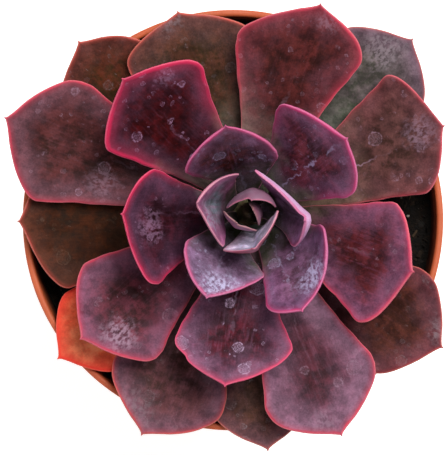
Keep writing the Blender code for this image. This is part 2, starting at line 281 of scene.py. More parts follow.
class Graph:
    """A node tree with short calls for the nodes that the finishes are made of."""

    def __init__(self, tree: bpy.types.NodeTree) -> None:
        """Keep the tree that nodes are added to."""
        self.tree = tree

    def node(self, kind: str, inputs: dict, **values: object) -> bpy.types.Node:
        """Add a shader node, set its properties and feed its inputs.

        Args:
            kind: The node's type, without its first word.
            inputs: Plain or node values by the name or number of an input.
            values: Properties by name.

        Returns:
            The node.
        """
        made = self.tree.nodes.new(f"ShaderNode{kind}")
        for name, value in values.items():
            setattr(made, name, value)
        for name, value in inputs.items():
            self.feed(made.inputs[name], value)
        return made

    def out(self, kind: str, inputs: dict, output: int | str = 0, **values: object) -> Value:
        """One output of a new node, by its number or name."""
        return Value(self, self.node(kind, inputs, **values).outputs[output])

    def feed(self, socket: bpy.types.NodeSocket, value: object) -> None:
        """Link a node value to an input, or set a plain value on it.

        Args:
            socket: The input.
            value: A node value, a colour of three channels, a vector or a number.
        """
        if isinstance(value, Value):
            self.tree.links.new(value.socket, socket)
        elif socket.type == "RGBA":
            socket.default_value = (*value, 1.0)
        else:
            socket.default_value = value

    def math(self, operation: str, first: object, second: object = 0.0) -> Value:
        """One step of arithmetic on two values."""
        return self.out("Math", {0: first, 1: second}, operation=operation)

    def mix(self, share: object, first: object, second: object) -> Value:
        """Blend of two colours; the share is the second's."""
        return self.out("Mix", {0: share, 6: first, 7: second}, 2, data_type="RGBA")

    def lay(self, colour: object, *layers: tuple) -> Value:
        """Lay colours over one another.

        Args:
            colour: The lowest colour.
            layers: Share and colour of each layer, from the lowest up.

        Returns:
            The colour that shows.
        """
        for share, shade in layers:
            colour = self.mix(share, colour, shade)
        return colour

    def scaled(self, vector: object, share: object) -> Value:
        """A colour or a place multiplied by a factor."""
        return self.out("VectorMath", {0: vector, "Scale": share}, operation="SCALE")

    def noise(self, place: object, scale: float, detail: float = 3.0) -> Value:
        """Cloudy pattern from 0 to 1, with this many clouds to a unit and layers of finer ones."""
        return self.out("TexNoise", {"Vector": place, "Scale": scale, "Detail": detail, "Roughness": 0.6})

    def cells(self, place: object, scale: float) -> tuple[Value, list[Value]]:
        """Voronoi cells.

        Args:
            place: Place that the cells follow.
            scale: Cells to a unit.

        Returns:
            Distance from the middle of the cell, and its own three random numbers.
        """
        made = self.node("TexVoronoi", {"Vector": place, "Scale": scale}).outputs
        return Value(self, made["Distance"]), self.parts(Value(self, made["Color"]))

    def stretch(self, place: object, scale: tuple, turn: float = 0.0) -> Value:
        """A place scaled along each axis and turned about Z by an angle in degrees."""
        turned = (0.0, 0.0, math.radians(turn))
        return self.out("Mapping", {"Vector": place, "Scale": scale, "Rotation": turned})

    def parts(self, vector: object) -> list[Value]:
        """The three numbers of a vector or colour."""
        return [Value(self, output) for output in self.node("SeparateXYZ", {0: vector}).outputs]

    def place(self) -> Value:
        """Place on the object, in metres."""
        return self.out("TexCoord", {}, "Object")

    def stored(self, name: str, output: str = "Fac") -> Value:
        """A value kept on the mesh under a name."""
        return self.out("Attribute", {}, output, attribute_name=name)


class Pattern:
    """A shader node group with named inputs and outputs, built once."""

    name = "pattern"
    colours: tuple[str, ...] = ()
    amounts: tuple[str, ...] = ()
    outputs: dict[str, str] = {}

    def group(self) -> bpy.types.NodeTree:
        """Find the group, or build it on its first use.

        Returns:
            The node group.
        """
        made = bpy.data.node_groups.get(self.name)
        if made is not None:
            return made
        made = bpy.data.node_groups.new(self.name, "ShaderNodeTree")
        for names, kind in ((self.colours, "NodeSocketColor"), (self.amounts, "NodeSocketFloat")):
            for name in names:
                made.interface.new_socket(name=name, in_out="INPUT", socket_type=kind)
        for name, kind in self.outputs.items():
            made.interface.new_socket(name=name, in_out="OUTPUT", socket_type=kind)
        graph = Graph(made)
        given = made.nodes.new("NodeGroupInput").outputs
        wanted = made.nodes.new("NodeGroupOutput").inputs
        given = {name: Value(graph, given[name]) for name in self.colours + self.amounts}
        for name, value in self.draw(graph, given).items():
            graph.feed(wanted[name], value)
        return made

    def draw(self, graph: Graph, given: dict[str, Value]) -> dict[str, Value]:
        """Build the group's inside; each pattern has its own.

        Args:
            graph: The group's graph.
            given: The group's inputs by name.

        Returns:
            The outputs by name.
        """
        raise NotImplementedError

    def use(self, graph: Graph, values: dict[str, object]) -> dict[str, Value]:
        """Place the group in a material with the material's own values.

        Args:
            graph: The material's graph.
            values: Values by input name.

        Returns:
            The outputs by name.
        """
        made = graph.node("Group", values, node_tree=self.group())
        return {output.name: Value(graph, output) for output in made.outputs}


class WaterMarks(Pattern):
    """Dried drops: thin bright rings with a paler inside, of random size, in some of the cells."""

    name = "water_marks"
    amounts = ("Cell", "Share")
    outputs = {"Mask": "NodeSocketFloat"}

    def draw(self, graph: Graph, given: dict[str, Value]) -> dict[str, Value]:
        """Rings about the middle of Voronoi cells on the blade, bent a little by noise.

        A ring is a narrow band of distances about a random radius, broken by noise, round a grained middle.

        Args:
            graph: The group's graph.
            given: The group's inputs by name.

        Returns:
            The mask by name.
        """
        blade = graph.stored("blade", "Vector")
        wobble = graph.out("TexNoise", {"Vector": blade, "Scale": 0.9}, 1)
        bent = graph.out("VectorMath", {0: wobble, 1: (1.1, 1.1, 0.0), 2: blade}, operation="MULTIPLY_ADD")
        size = graph.out("CombineXYZ", dict.fromkeys(range(3), given["Cell"]))
        distance, chance = graph.cells(graph.out("VectorMath", {0: bent, 1: size}, operation="DIVIDE"), 1.0)
        off = distance - (chance[0] * 0.26 + 0.12)
        ring = abs(off).fall(0.0, 0.06) * graph.noise(blade, 1.4).ease(0.35, 0.6)
        pale = off.fall(-0.08, 0.0) * 0.55 * graph.noise(blade, 2.6, 4.0).ease(0.35, 0.65)
        return {"Mask": chance[1].below(given["Share"]) * ring.most(pale)}


class LeafPattern(Pattern):
    """Skin of a leaf: mottled flesh, green towards the root, a blush and a red edge at the margin.

    On top lie a thin powdery bloom, rubbed streaks and scuffs, one smudge, dried drops and fine specks.
    The bloom's veil and specks, and the smudge, also carry painted sheen and glints.
    Widths are in millimetres. Marks follow the blade's own place: across, along and a seed.
    """

    name = "leaf_pattern"
    colours = ("Flesh", "Shade", "Root", "Blush", "Edge", "Rim", "Bloom", "Back")
    amounts = (
        "Root reach", "Blush width", "Blush amount", "Edge width", "Bloom amount", "Marks", "Scuffs", "Veins",
        "Rib", "Smudge across", "Smudge along", "Smudge size", "Smudge", "Gloss", "Mottle",
    )
    outputs = {"Colour": "NodeSocketColor", "Roughness": "NodeSocketFloat", "Height": "NodeSocketFloat"}
    # Clouds to a metre, and layers of finer ones
    clouds = {"broad": (95.0, 3.0), "medium": (340.0, 5.0), "fine": (1900.0, 4.0), "hollow": (185.0, 3.0)}

    def draw(self, graph: Graph, given: dict[str, Value]) -> dict[str, Value]:
        """Lay the colours over each other, from the flesh up to the rim of the margin.

        Args:
            graph: The group's graph.
            given: The group's inputs by name.

        Returns:
            The three outputs by name.
        """
        spot = graph.place()
        clouds = {name: graph.noise(spot, *scale) for name, scale in self.clouds.items()}
        clouds["patch"] = clouds["broad"] * 0.5 + clouds["medium"] * 0.5
        low = graph.parts(graph.stored("blade", "Vector"))[1]
        low = low.ragged(clouds["broad"], 26.0).ragged(clouds["medium"], 12.0)
        bloom_and_sheen = self.bloom_and_sheen(graph, given, clouds)
        wear_and_glints = self.wear_and_glints(graph, given, clouds)
        band, grown = self.band(graph, given, clouds)
        hue = graph.mix(grown, graph.mix(0.35, given["Root"], given["Rim"]), given["Edge"])
        rim = graph.stored("edge").fall(0.02, 0.36) * (clouds["fine"] * 0.8 + 0.2)
        colour = graph.lay(
            self.flesh(graph, given, clouds, low),
            (bloom_and_sheen, graph.mix(0.25, given["Blush"], given["Bloom"])),
            (wear_and_glints, given["Bloom"]),
            (band * (grown * 0.5 + 0.45), hue),
            (rim, given["Rim"]),
        )
        back = graph.lay(
            given["Back"],
            (clouds["patch"].ease(0.42, 0.60) * 0.35, given["Blush"]),
            (bloom_and_sheen, given["Bloom"]),
            (low.fall(0.0, 14.0) * 0.8, given["Root"]),
            (band * 0.8, hue),
        )
        coated = bloom_and_sheen.most(wear_and_glints)
        rough = 0.62 - given["Gloss"] * 0.3 + coated * 0.2
        return {
            "Colour": graph.mix(graph.stored("upper"), back, colour),
            "Roughness": rough.ragged(clouds["medium"], 0.3),
            "Height": clouds["medium"] * 0.8 + clouds["fine"] * 0.25 + coated * 0.3,
        }

    def flesh(self, graph: Graph, given: dict, clouds: dict, low: Value) -> Value:
        """Mottled flesh with fine veins, a blush from the margin inwards, the greener root, and painted shade
        that darkens the blade towards its root.

        Args:
            graph: The group's graph.
            given: The group's inputs by name.
            clouds: Cloudy patterns by name.
            low: Distance from the root, shifted by the clouds.

        Returns:
            The colour.
        """
        blade, edge = graph.stored("blade", "Vector"), graph.stored("edge")
        across, along, _ = graph.parts(blade)
        streak = graph.noise(graph.stretch(blade, (1.3, 0.14, 1.0)), 1.0, 5.0)
        near = edge.ragged(clouds["medium"], 6.0).ragged(clouds["broad"], 8.0)
        reach = given["Root reach"]
        colour = graph.lay(
            given["Shade"],
            (clouds["patch"].ease(0.43, 0.57), given["Flesh"]),
            (streak.ease(0.46, 0.66) * given["Veins"], given["Blush"]),
            (near.fall(0.0, given["Blush width"]) * given["Blush amount"], given["Blush"]),
            ((low + edge * 0.9).fall(reach * 0.3, reach), given["Root"]),
        )
        mottle = clouds["fine"].ease(0.34, 0.66) * 0.26 + 0.68
        mottle = mottle + clouds["medium"].ease(0.36, 0.64) * 0.38
        hollow = clouds["hollow"].ease(0.40, 0.60) * 0.46 + 0.76
        mottle = (mottle * hollow - 1.0) * given["Mottle"] + 1.0
        # painted shade: the blade darkens towards its root, deep in the rosette where the leaves above shade
        # it
        deep = graph.stored("share").ease(0.1, 0.75) * 0.38 + 0.62
        rib = abs(across.ragged(graph.noise(blade, 0.3), 4.0)).ragged(clouds["medium"], 0.9)
        rib = rib.fall(0.05, 0.5) * along.fall(20.0, 44.0) * graph.noise(blade, 0.22).ease(0.42, 0.58)
        return graph.mix(rib * given["Rib"], graph.scaled(colour, mottle * deep), given["Bloom"])

    def bloom_and_sheen(self, graph: Graph, given: dict, clouds: dict) -> Value:
        """Thin bloom in soft clouds, grained and drawn out along the blade, with fine pale specks.

        The bloom is the leaf's wax; its veil and specks also stand in for painted sheen and glints.

        Args:
            graph: The group's graph.
            given: The group's inputs by name.
            clouds: Cloudy patterns by name.

        Returns:
            Share of the bloom's colour.
        """
        blade = graph.stored("blade", "Vector")
        cloud = graph.noise(graph.place(), 130.0, 5.0).ease(0.38, 0.68)
        brushed = graph.noise(graph.stretch(blade, (4.2, 0.9, 1.0)), 1.0, 4.0)
        grain = clouds["fine"].ease(0.36, 0.66) * 0.22 + 0.48 + brushed.ease(0.44, 0.66) * 0.35
        kept = graph.stored("edge").ragged(clouds["broad"], 10.0).fall(3.0, 13.0) * 0.8 + 0.2
        # fine pale specks of bloom; where the bloom is thick, as on leaf 6, they are also painted glints
        distance, chance = graph.cells(blade, 1.6)
        dot = distance.fall(0.06, 0.18) * chance[0].below(0.14)
        amount = given["Bloom amount"]
        return (cloud * grain * (kept * amount)).most(dot * amount)

    def wear_and_glints(self, graph: Graph, given: dict, clouds: dict) -> Value:
        """Scuffs in two directions, one smudge at its own place, and dried drops of two sizes.

        The smudge is rubbed bloom; on leaves 6 and 8 it also stands in for painted glints.

        Args:
            graph: The group's graph.
            given: The group's inputs by name.
            clouds: Cloudy patterns by name.

        Returns:
            Share of the bloom's colour.
        """
        blade = graph.stored("blade", "Vector")
        across, along, _ = graph.parts(blade)
        first = graph.noise(graph.stretch(blade, (1.5, 0.35, 1.0), 35.0), 1.0, 6.0)
        second = graph.noise(graph.stretch(blade, (0.5, 1.9, 1.0), -20.0), 1.0, 6.0)
        scuff = first.ease(0.64, 0.76).most(second.ease(0.66, 0.78))
        scuff = scuff * clouds["fine"].ease(0.36, 0.56) * given["Scuffs"]

        # the smudge: rubbed bloom, and on leaves 6 and 8 also a painted glint
        right = (across - given["Smudge across"]) / given["Smudge size"]
        ahead = (along - given["Smudge along"]) / given["Smudge size"]
        far = (right * right + ahead * ahead).root().ragged(graph.noise(blade, 0.45, 5.0), 1.6)
        rubbed = graph.noise(graph.stretch(blade, (0.9, 0.6, 1.0), -32.0), 1.0, 6.0)
        smudge = far.fall(0.2, 1.1) * rubbed.ease(0.40, 0.58) * given["Smudge"]

        large = WaterMarks().use(graph, {"Cell": 6.0, "Share": 0.42})["Mask"]
        small = WaterMarks().use(graph, {"Cell": 2.2, "Share": 0.34})["Mask"]
        marks = large.most(small * 0.8) * graph.noise(blade, 0.12).ease(0.40, 0.56) * given["Marks"]
        return marks.most(scuff.most(smudge))

    def band(self, graph: Graph, given: dict, clouds: dict) -> tuple[Value, Value]:
        """Red band along the margin, thin near the root, with a weaker flush inside it.

        Args:
            graph: The group's graph.
            given: The group's inputs by name.
            clouds: Cloudy patterns by name.

        Returns:
            Share of the edge's colour, and how far the blade has grown out of its green base.
        """
        grown = graph.stored("share").ease(0.22, 0.60)
        width = given["Edge width"] * (grown * 0.6 + 0.4)
        margin = graph.stored("edge").ragged(clouds["medium"], 0.9)
        flush = margin.fall(0.0, width * 3.6) * 0.34
        faded = graph.noise(graph.place(), 55.0).ease(0.38, 0.58)
        band = margin.fall(width * 0.3, width * 1.5) * (faded * 0.4 + 0.6)
        return band.most(flush), grown


class Grime(Pattern):
    """Wear of a moulded surface: clouds of dust, fine scratches round the wall, and specks."""

    name = "grime"
    amounts = ("Size",)
    outputs = {"Cloud": "NodeSocketFloat", "Scratch": "NodeSocketFloat", "Speck": "NodeSocketFloat"}

    def draw(self, graph: Graph, given: dict[str, Value]) -> dict[str, Value]:
        """Broad clouds, thin stretched lines round the wall, and small dots.

        Args:
            graph: The group's graph.
            given: The group's inputs by name.

        Returns:
            The three masks by name.
        """
        spot = graph.scaled(graph.place(), given["Size"])
        thin = graph.stretch(spot, (0.6, 0.6, 14.0))
        distance, chance = graph.cells(spot, 7.0)
        return {
            "Cloud": graph.noise(spot, 0.6, 5.0).ease(0.38, 0.66),
            "Scratch": graph.noise(thin, 1.0, 6.0).ease(0.60, 0.72),
            "Speck": distance.fall(0.06, 0.2) * chance[0].below(0.12),
        }


class Finish(Graph):
    """A material: a graph whose colour, roughness and relief go to a Principled BSDF."""

    def __init__(self, name: str) -> None:
        """Start the material.

        Args:
            name: The material's name.
        """
        self.material = bpy.data.materials.new(name)
        self.material.use_nodes = True
        super().__init__(self.material.node_tree)
        self.shader = self.tree.nodes["Principled BSDF"]

    def coat(self, colour: object, rough: object, specular: float = 0.5) -> None:
        """Set the look of the surface.

        Args:
            colour: Base colour.
            rough: Roughness.
            specular: Level of the mirror light; 0.5 is that of common plastic.
        """
        for name, value in (("Base Color", colour), ("Roughness", rough), ("Specular IOR Level", specular)):
            self.feed(self.shader.inputs[name], value)

    def emboss(self, height: object, depth: float, share: float) -> None:
        """Drive the shader's normal by a height pattern.

        Args:
            height: Height pattern from 0 to 1.
            depth: Real height of the pattern, in metres.
            share: Strength of the effect, from 0 to 1.
        """
        bump = self.out("Bump", {"Distance": depth, "Strength": share, "Height": height})
        self.feed(self.shader.inputs["Normal"], bump)


@dataclass(frozen=True)
class LeafSkin:
    """Colours and marks of one leaf's skin. Widths are in millimetres."""

    flesh: Colour
    shade: Colour
    root: Colour
    blush: Colour
    edge: Colour
    rim: Colour
    bloom: Colour
    back: Colour
    root_reach: float = 22.0
    blush_width: float = 6.0
    blush_amount: float = 0.6
    edge_width: float = 0.8
    bloom_amount: float = 0.2
    marks: float = 0.25
    scuffs: float = 0.35
    veins: float = 0.25
    rib: float = 0.2
    smudge_across: float = 0.0
    smudge_along: float = 40.0
    smudge_size: float = 5.0
    smudge: float = 0.0
    gloss: float = 0.2
    mottle: float = 1.0
    specular: float = 0.08

    def material(self, name: str) -> bpy.types.Material:
        """Make the leaf's material from the shared pattern.

        Args:
            name: The material's name.

        Returns:
            The material.
        """
        finish = Finish(name)
        sockets = LeafPattern.colours + LeafPattern.amounts
        values = {socket: getattr(self, socket.lower().replace(" ", "_")) for socket in sockets}
        skin = LeafPattern().use(finish, values)
        finish.coat(skin["Colour"], skin["Roughness"], self.specular)
        finish.emboss(skin["Height"], 0.00022, 0.8)
        return finish.material


class Tone(Enum):
    """Skins by age, from the heart of the rosette outwards."""

    HEART = LeafSkin(
        flesh=srgb(96, 110, 102), shade=srgb(66, 78, 64), root=srgb(62, 74, 50),
        blush=srgb(134, 88, 116), edge=srgb(200, 112, 140), rim=srgb(214, 160, 174),
        bloom=srgb(166, 170, 190), back=srgb(156, 96, 122), root_reach=14.0, blush_width=4.0,
        edge_width=0.2, bloom_amount=0.3, marks=0.1, scuffs=0.2, rib=0.1, gloss=0.6, specular=0.2,
    )
    INNER = LeafSkin(
        flesh=srgb(98, 54, 78), shade=srgb(54, 24, 26), root=srgb(86, 90, 68), blush=srgb(130, 86, 124),
        edge=srgb(190, 58, 110), rim=srgb(218, 130, 170), bloom=srgb(182, 170, 208),
        back=srgb(184, 122, 170), root_reach=25.0, blush_width=9.0, blush_amount=0.7, edge_width=0.6,
        bloom_amount=0.4, marks=0.5, scuffs=0.5, gloss=0.7, specular=0.12,
    )
    DEEP = LeafSkin(
        flesh=srgb(68, 14, 24), shade=srgb(42, 7, 10), root=srgb(128, 110, 102), blush=srgb(94, 52, 72),
        edge=srgb(198, 42, 82), rim=srgb(232, 104, 134), bloom=srgb(146, 108, 138),
        back=srgb(120, 46, 70), root_reach=18.0, blush_width=9.0, edge_width=1.0, bloom_amount=0.25,
        marks=0.8, scuffs=0.5, veins=0.15, gloss=0.4,
    )
    DUSKY = LeafSkin(
        flesh=srgb(84, 36, 42), shade=srgb(54, 24, 22), root=srgb(92, 74, 58), blush=srgb(122, 74, 92),
        edge=srgb(194, 58, 80), rim=srgb(228, 120, 130), bloom=srgb(164, 132, 152),
        back=srgb(130, 64, 82), root_reach=26.0, blush_width=10.0, blush_amount=0.65, edge_width=0.7,
        bloom_amount=0.28, marks=0.5, scuffs=0.45, veins=0.12,
    )
    OLIVE = LeafSkin(
        flesh=srgb(78, 48, 36), shade=srgb(54, 36, 20), root=srgb(74, 78, 54), blush=srgb(110, 74, 78),
        edge=srgb(182, 72, 64), rim=srgb(206, 122, 108), bloom=srgb(152, 138, 146),
        back=srgb(112, 74, 68), root_reach=40.0, blush_width=9.0, edge_width=0.45, bloom_amount=0.3,
        scuffs=0.4, veins=0.12,
    )
    # painted light: flesh and shade are brightened to make up for the shade that falls on this leaf
    WITHERED = LeafSkin(
        flesh=srgb(255, 150, 104), shade=srgb(255, 122, 76), root=srgb(150, 96, 56),
        blush=srgb(242, 74, 54), edge=srgb(234, 60, 48), rim=srgb(238, 110, 90),
        bloom=srgb(236, 170, 140), back=srgb(170, 72, 44), root_reach=26.0, blush_width=7.0,
        blush_amount=0.85, edge_width=0.9, bloom_amount=0.35, marks=0.0, scuffs=0.2, mottle=0.4,
    )

    def but(self, **changes: object) -> LeafSkin:
        """The skin with some values of a leaf's own; a colour is given in steps of 0 to 255."""
        own = {name: srgb(*value) if isinstance(value, tuple) else value for name, value in changes.items()}
        return replace(self.value, **own)


# Skins of single leaves, by place on the spiral
SKINS = {
    0: Tone.HEART.but(flesh=(60, 72, 52), shade=(38, 46, 32), edge=(180, 130, 124)),
    1: Tone.HEART.but(flesh=(68, 80, 60), shade=(46, 56, 38), edge=(192, 140, 132)),
    2: Tone.HEART.but(flesh=(84, 96, 84), shade=(62, 74, 60), back=(150, 106, 130)),
    # painted light: the near-white flesh and shade stand in for the light and sheen on this steep face
    3: Tone.HEART.but(
        flesh=(242, 232, 255), shade=(208, 206, 238), root=(128, 146, 132), root_reach=10.0,
        blush=(210, 164, 194), back=(166, 62, 76), smudge=0.8, smudge_across=3.0, smudge_along=20.0,
        edge_width=0.3,
    ),
    4: Tone.HEART.but(
        flesh=(104, 110, 122), shade=(80, 90, 90), blush=(172, 96, 140), blush_width=9.0,
        blush_amount=0.9, root_reach=16.0, edge_width=0.3, smudge=0.6, smudge_across=5.0,
        smudge_along=24.0,
    ),
    # painted light: the pale back is brightened to stand in for light on this steep outer face
    5: Tone.INNER.but(
        flesh=(112, 80, 110), shade=(76, 48, 60), blush=(176, 118, 168), rim=(232, 158, 190),
        back=(244, 196, 240),
    ),
    # painted glints: the large smudge and the dense bloom specks of this leaf stand in for its glints
    6: Tone.INNER.but(
        flesh=(112, 88, 114), shade=(86, 60, 80), blush=(138, 104, 140), edge=(192, 80, 126),
        bloom=(200, 194, 230), bloom_amount=0.6, smudge=0.9, smudge_across=3.0, smudge_along=31.0,
        smudge_size=9.0,
    ),
    7: Tone.INNER.but(
        flesh=(70, 28, 24), shade=(38, 14, 8), root=(66, 66, 46), blush=(134, 88, 120), blush_width=7.0,
        edge_width=0.55,
    ),
    # painted glint: this leaf's smudge stands in for the glint on its outer part
    8: Tone.INNER.but(
        flesh=(118, 80, 108), shade=(88, 54, 68), blush=(124, 80, 120), edge_width=0.75,
        bloom=(194, 184, 222), smudge=0.8, smudge_across=8.0, smudge_along=32.0, smudge_size=7.0,
    ),
    9: Tone.DEEP.but(
        flesh=(58, 18, 28), shade=(36, 10, 14), blush=(98, 62, 88), edge_width=0.85,
        root=(112, 106, 104), marks=0.7, scuffs=0.7, smudge=0.6, smudge_across=4.0, smudge_along=31.0,
        smudge_size=6.0,
    ),
    10: Tone.INNER.but(
        flesh=(88, 36, 44), shade=(48, 16, 14), blush=(124, 74, 104), root=(110, 112, 94),
        root_reach=27.0, edge_width=0.85, marks=0.4, rib=0.6,
    ),
    11: Tone.DEEP.but(
        flesh=(76, 16, 28), shade=(44, 6, 10), blush=(140, 96, 126), edge=(202, 66, 102), edge_width=0.7,
        bloom=(174, 146, 174), bloom_amount=0.35, marks=1.0, scuffs=0.6,
    ),
    12: Tone.DEEP.but(
        flesh=(58, 7, 10), shade=(40, 4, 6), root_reach=27.0, root=(132, 112, 106), edge_width=1.3,
        smudge=0.4, smudge_across=-9.0, smudge_along=43.0, smudge_size=4.0,
    ),
    13: Tone.DUSKY.but(
        flesh=(78, 27, 30), shade=(48, 18, 17), root=(96, 90, 66), blush=(138, 84, 116),
        edge=(200, 60, 92), veins=0.15,
    ),
    14: Tone.DUSKY.but(
        flesh=(90, 38, 48), shade=(56, 24, 26), blush=(130, 82, 108), edge=(202, 64, 90), smudge=0.8,
        smudge_across=6.0, smudge_along=46.5, smudge_size=6.5,
    ),
    15: Tone.DUSKY.but(
        flesh=(74, 28, 26), shade=(48, 18, 14), root=(136, 122, 110), root_reach=38.0,
        blush=(118, 56, 66), edge_width=0.85, smudge=0.3, smudge_across=-4.0, smudge_along=56.0,
    ),
    16: Tone.DUSKY.but(
        flesh=(76, 34, 44), shade=(52, 22, 26), root=(78, 56, 50), blush=(150, 108, 134),
        blush_width=14.0, marks=0.45, smudge=0.35, smudge_across=-3.0, smudge_along=59.0,
    ),
    17: Tone.DUSKY.but(
        flesh=(74, 34, 34), shade=(50, 23, 18), blush=(116, 74, 86), smudge=0.3, smudge_across=7.0,
        smudge_along=37.0, smudge_size=6.0,
    ),
    18: Tone.DUSKY.but(
        flesh=(84, 52, 50), shade=(58, 36, 30), root=(124, 102, 86), root_reach=44.0,
        blush=(110, 62, 66), edge=(176, 66, 78), rib=1.0, scuffs=0.6, edge_width=0.5, smudge=0.45,
        smudge_across=1.0, smudge_along=50.0, smudge_size=6.0,
    ),
    19: Tone.OLIVE.but(
        flesh=(88, 50, 54), shade=(64, 37, 34), blush=(126, 84, 104), edge=(192, 66, 76), edge_width=0.6,
        smudge=0.25, smudge_across=-6.0, smudge_along=60.0, smudge_size=8.0,
    ),
    20: Tone.OLIVE.but(
        flesh=(76, 44, 30), shade=(52, 36, 18), blush=(108, 68, 68), root=(102, 100, 84), smudge=0.5,
        smudge_across=3.0, smudge_along=56.0,
    ),
    21: Tone.OLIVE.but(
        flesh=(72, 34, 25), shade=(52, 23, 14), blush=(114, 62, 74), root=(62, 44, 26), root_reach=24.0,
        edge=(158, 60, 68), smudge=0.4, smudge_across=4.0, smudge_along=60.0,
    ),
    # painted shade: the very dark flesh and shade stand in for the shadow of the leaves above it
    22: Tone.OLIVE.but(
        flesh=(54, 22, 4), shade=(40, 18, 2), blush=(92, 50, 38), root=(58, 46, 18), bloom=(120, 96, 82),
        scuffs=0.6,
    ),
    23: Tone.OLIVE.but(
        flesh=(96, 86, 86), shade=(74, 72, 64), root=(86, 104, 82), root_reach=60.0,
        blush=(120, 92, 112), edge=(150, 74, 90), smudge=0.6, smudge_across=4.0, smudge_along=56.0,
        smudge_size=8.0,
    ),
    24: Tone.OLIVE.but(
        flesh=(74, 46, 36), shade=(50, 32, 20), blush=(114, 74, 84), edge=(156, 76, 80), edge_width=0.35,
        marks=0.4,
    ),
    25: Tone.OLIVE.but(
        flesh=(72, 32, 16), shade=(54, 34, 10), blush=(106, 54, 52), root=(76, 80, 54), root_reach=48.0,
        smudge=0.3,
    ),
    27: Tone.WITHERED.value,
}

# Last place on the spiral that has each slot
SLOTS = ((4, "leaf_heart"), (8, "leaf_inner"), (17, "leaf_middle"), (25, "leaf_outer"), (27, "leaf_withered"))


@dataclass(frozen=True)
class Spiral:
    """The rule that every leaf follows, counted from the heart outwards, in millimetres and degrees."""

    golden_angle: float = 137.5
    first_direction: float = 335.0
    last_place: int = 27
    lowest_root: float = -8.5
    root_pitch: float = 0.6
    places: tuple = (0, 3, 4, 8, 13, 19, 27)
    root_slopes: tuple = (84, 71, 64, 46, 27, 12, 6)
    tip_slopes: tuple = (100, 87, 78, 52, 36, 24, 20)
    root_half_widths: tuple = (1.6, 1.6, 1.6, 2.6, 2.6, 2.6, 2.6)
    root_thicknesses: tuple = (1.4, 1.4, 1.4, 2.2, 2.2, 2.2, 2.2)
    belly_thicknesses: tuple = (1.9, 2.0, 2.8, 3.2, 4.2, 4.4, 4.2)
    margin_thicknesses: tuple = (0.3, 0.3, 0.4, 0.6, 0.75, 0.8, 0.8)
    wave_heights: tuple = (0.25, 0.25, 0.25, 0.5, 0.6, 0.6, 0.6)

    def at(self, place: int, values: tuple) -> float:
        """Value for a place between the places that the rule names."""
        return float(np.interp(place, self.places, values))


SPIRAL = Spiral()
STEM_AXIS = np.array((4.0, 1.9, 95.0))
CLEARANCE = 0.3


@dataclass(frozen=True)
class Notch:
    """A nick in a leaf's margin: which side, where along it, how deep and how long in millimetres."""

    side: int
    along: float
    depth: float
    length: float


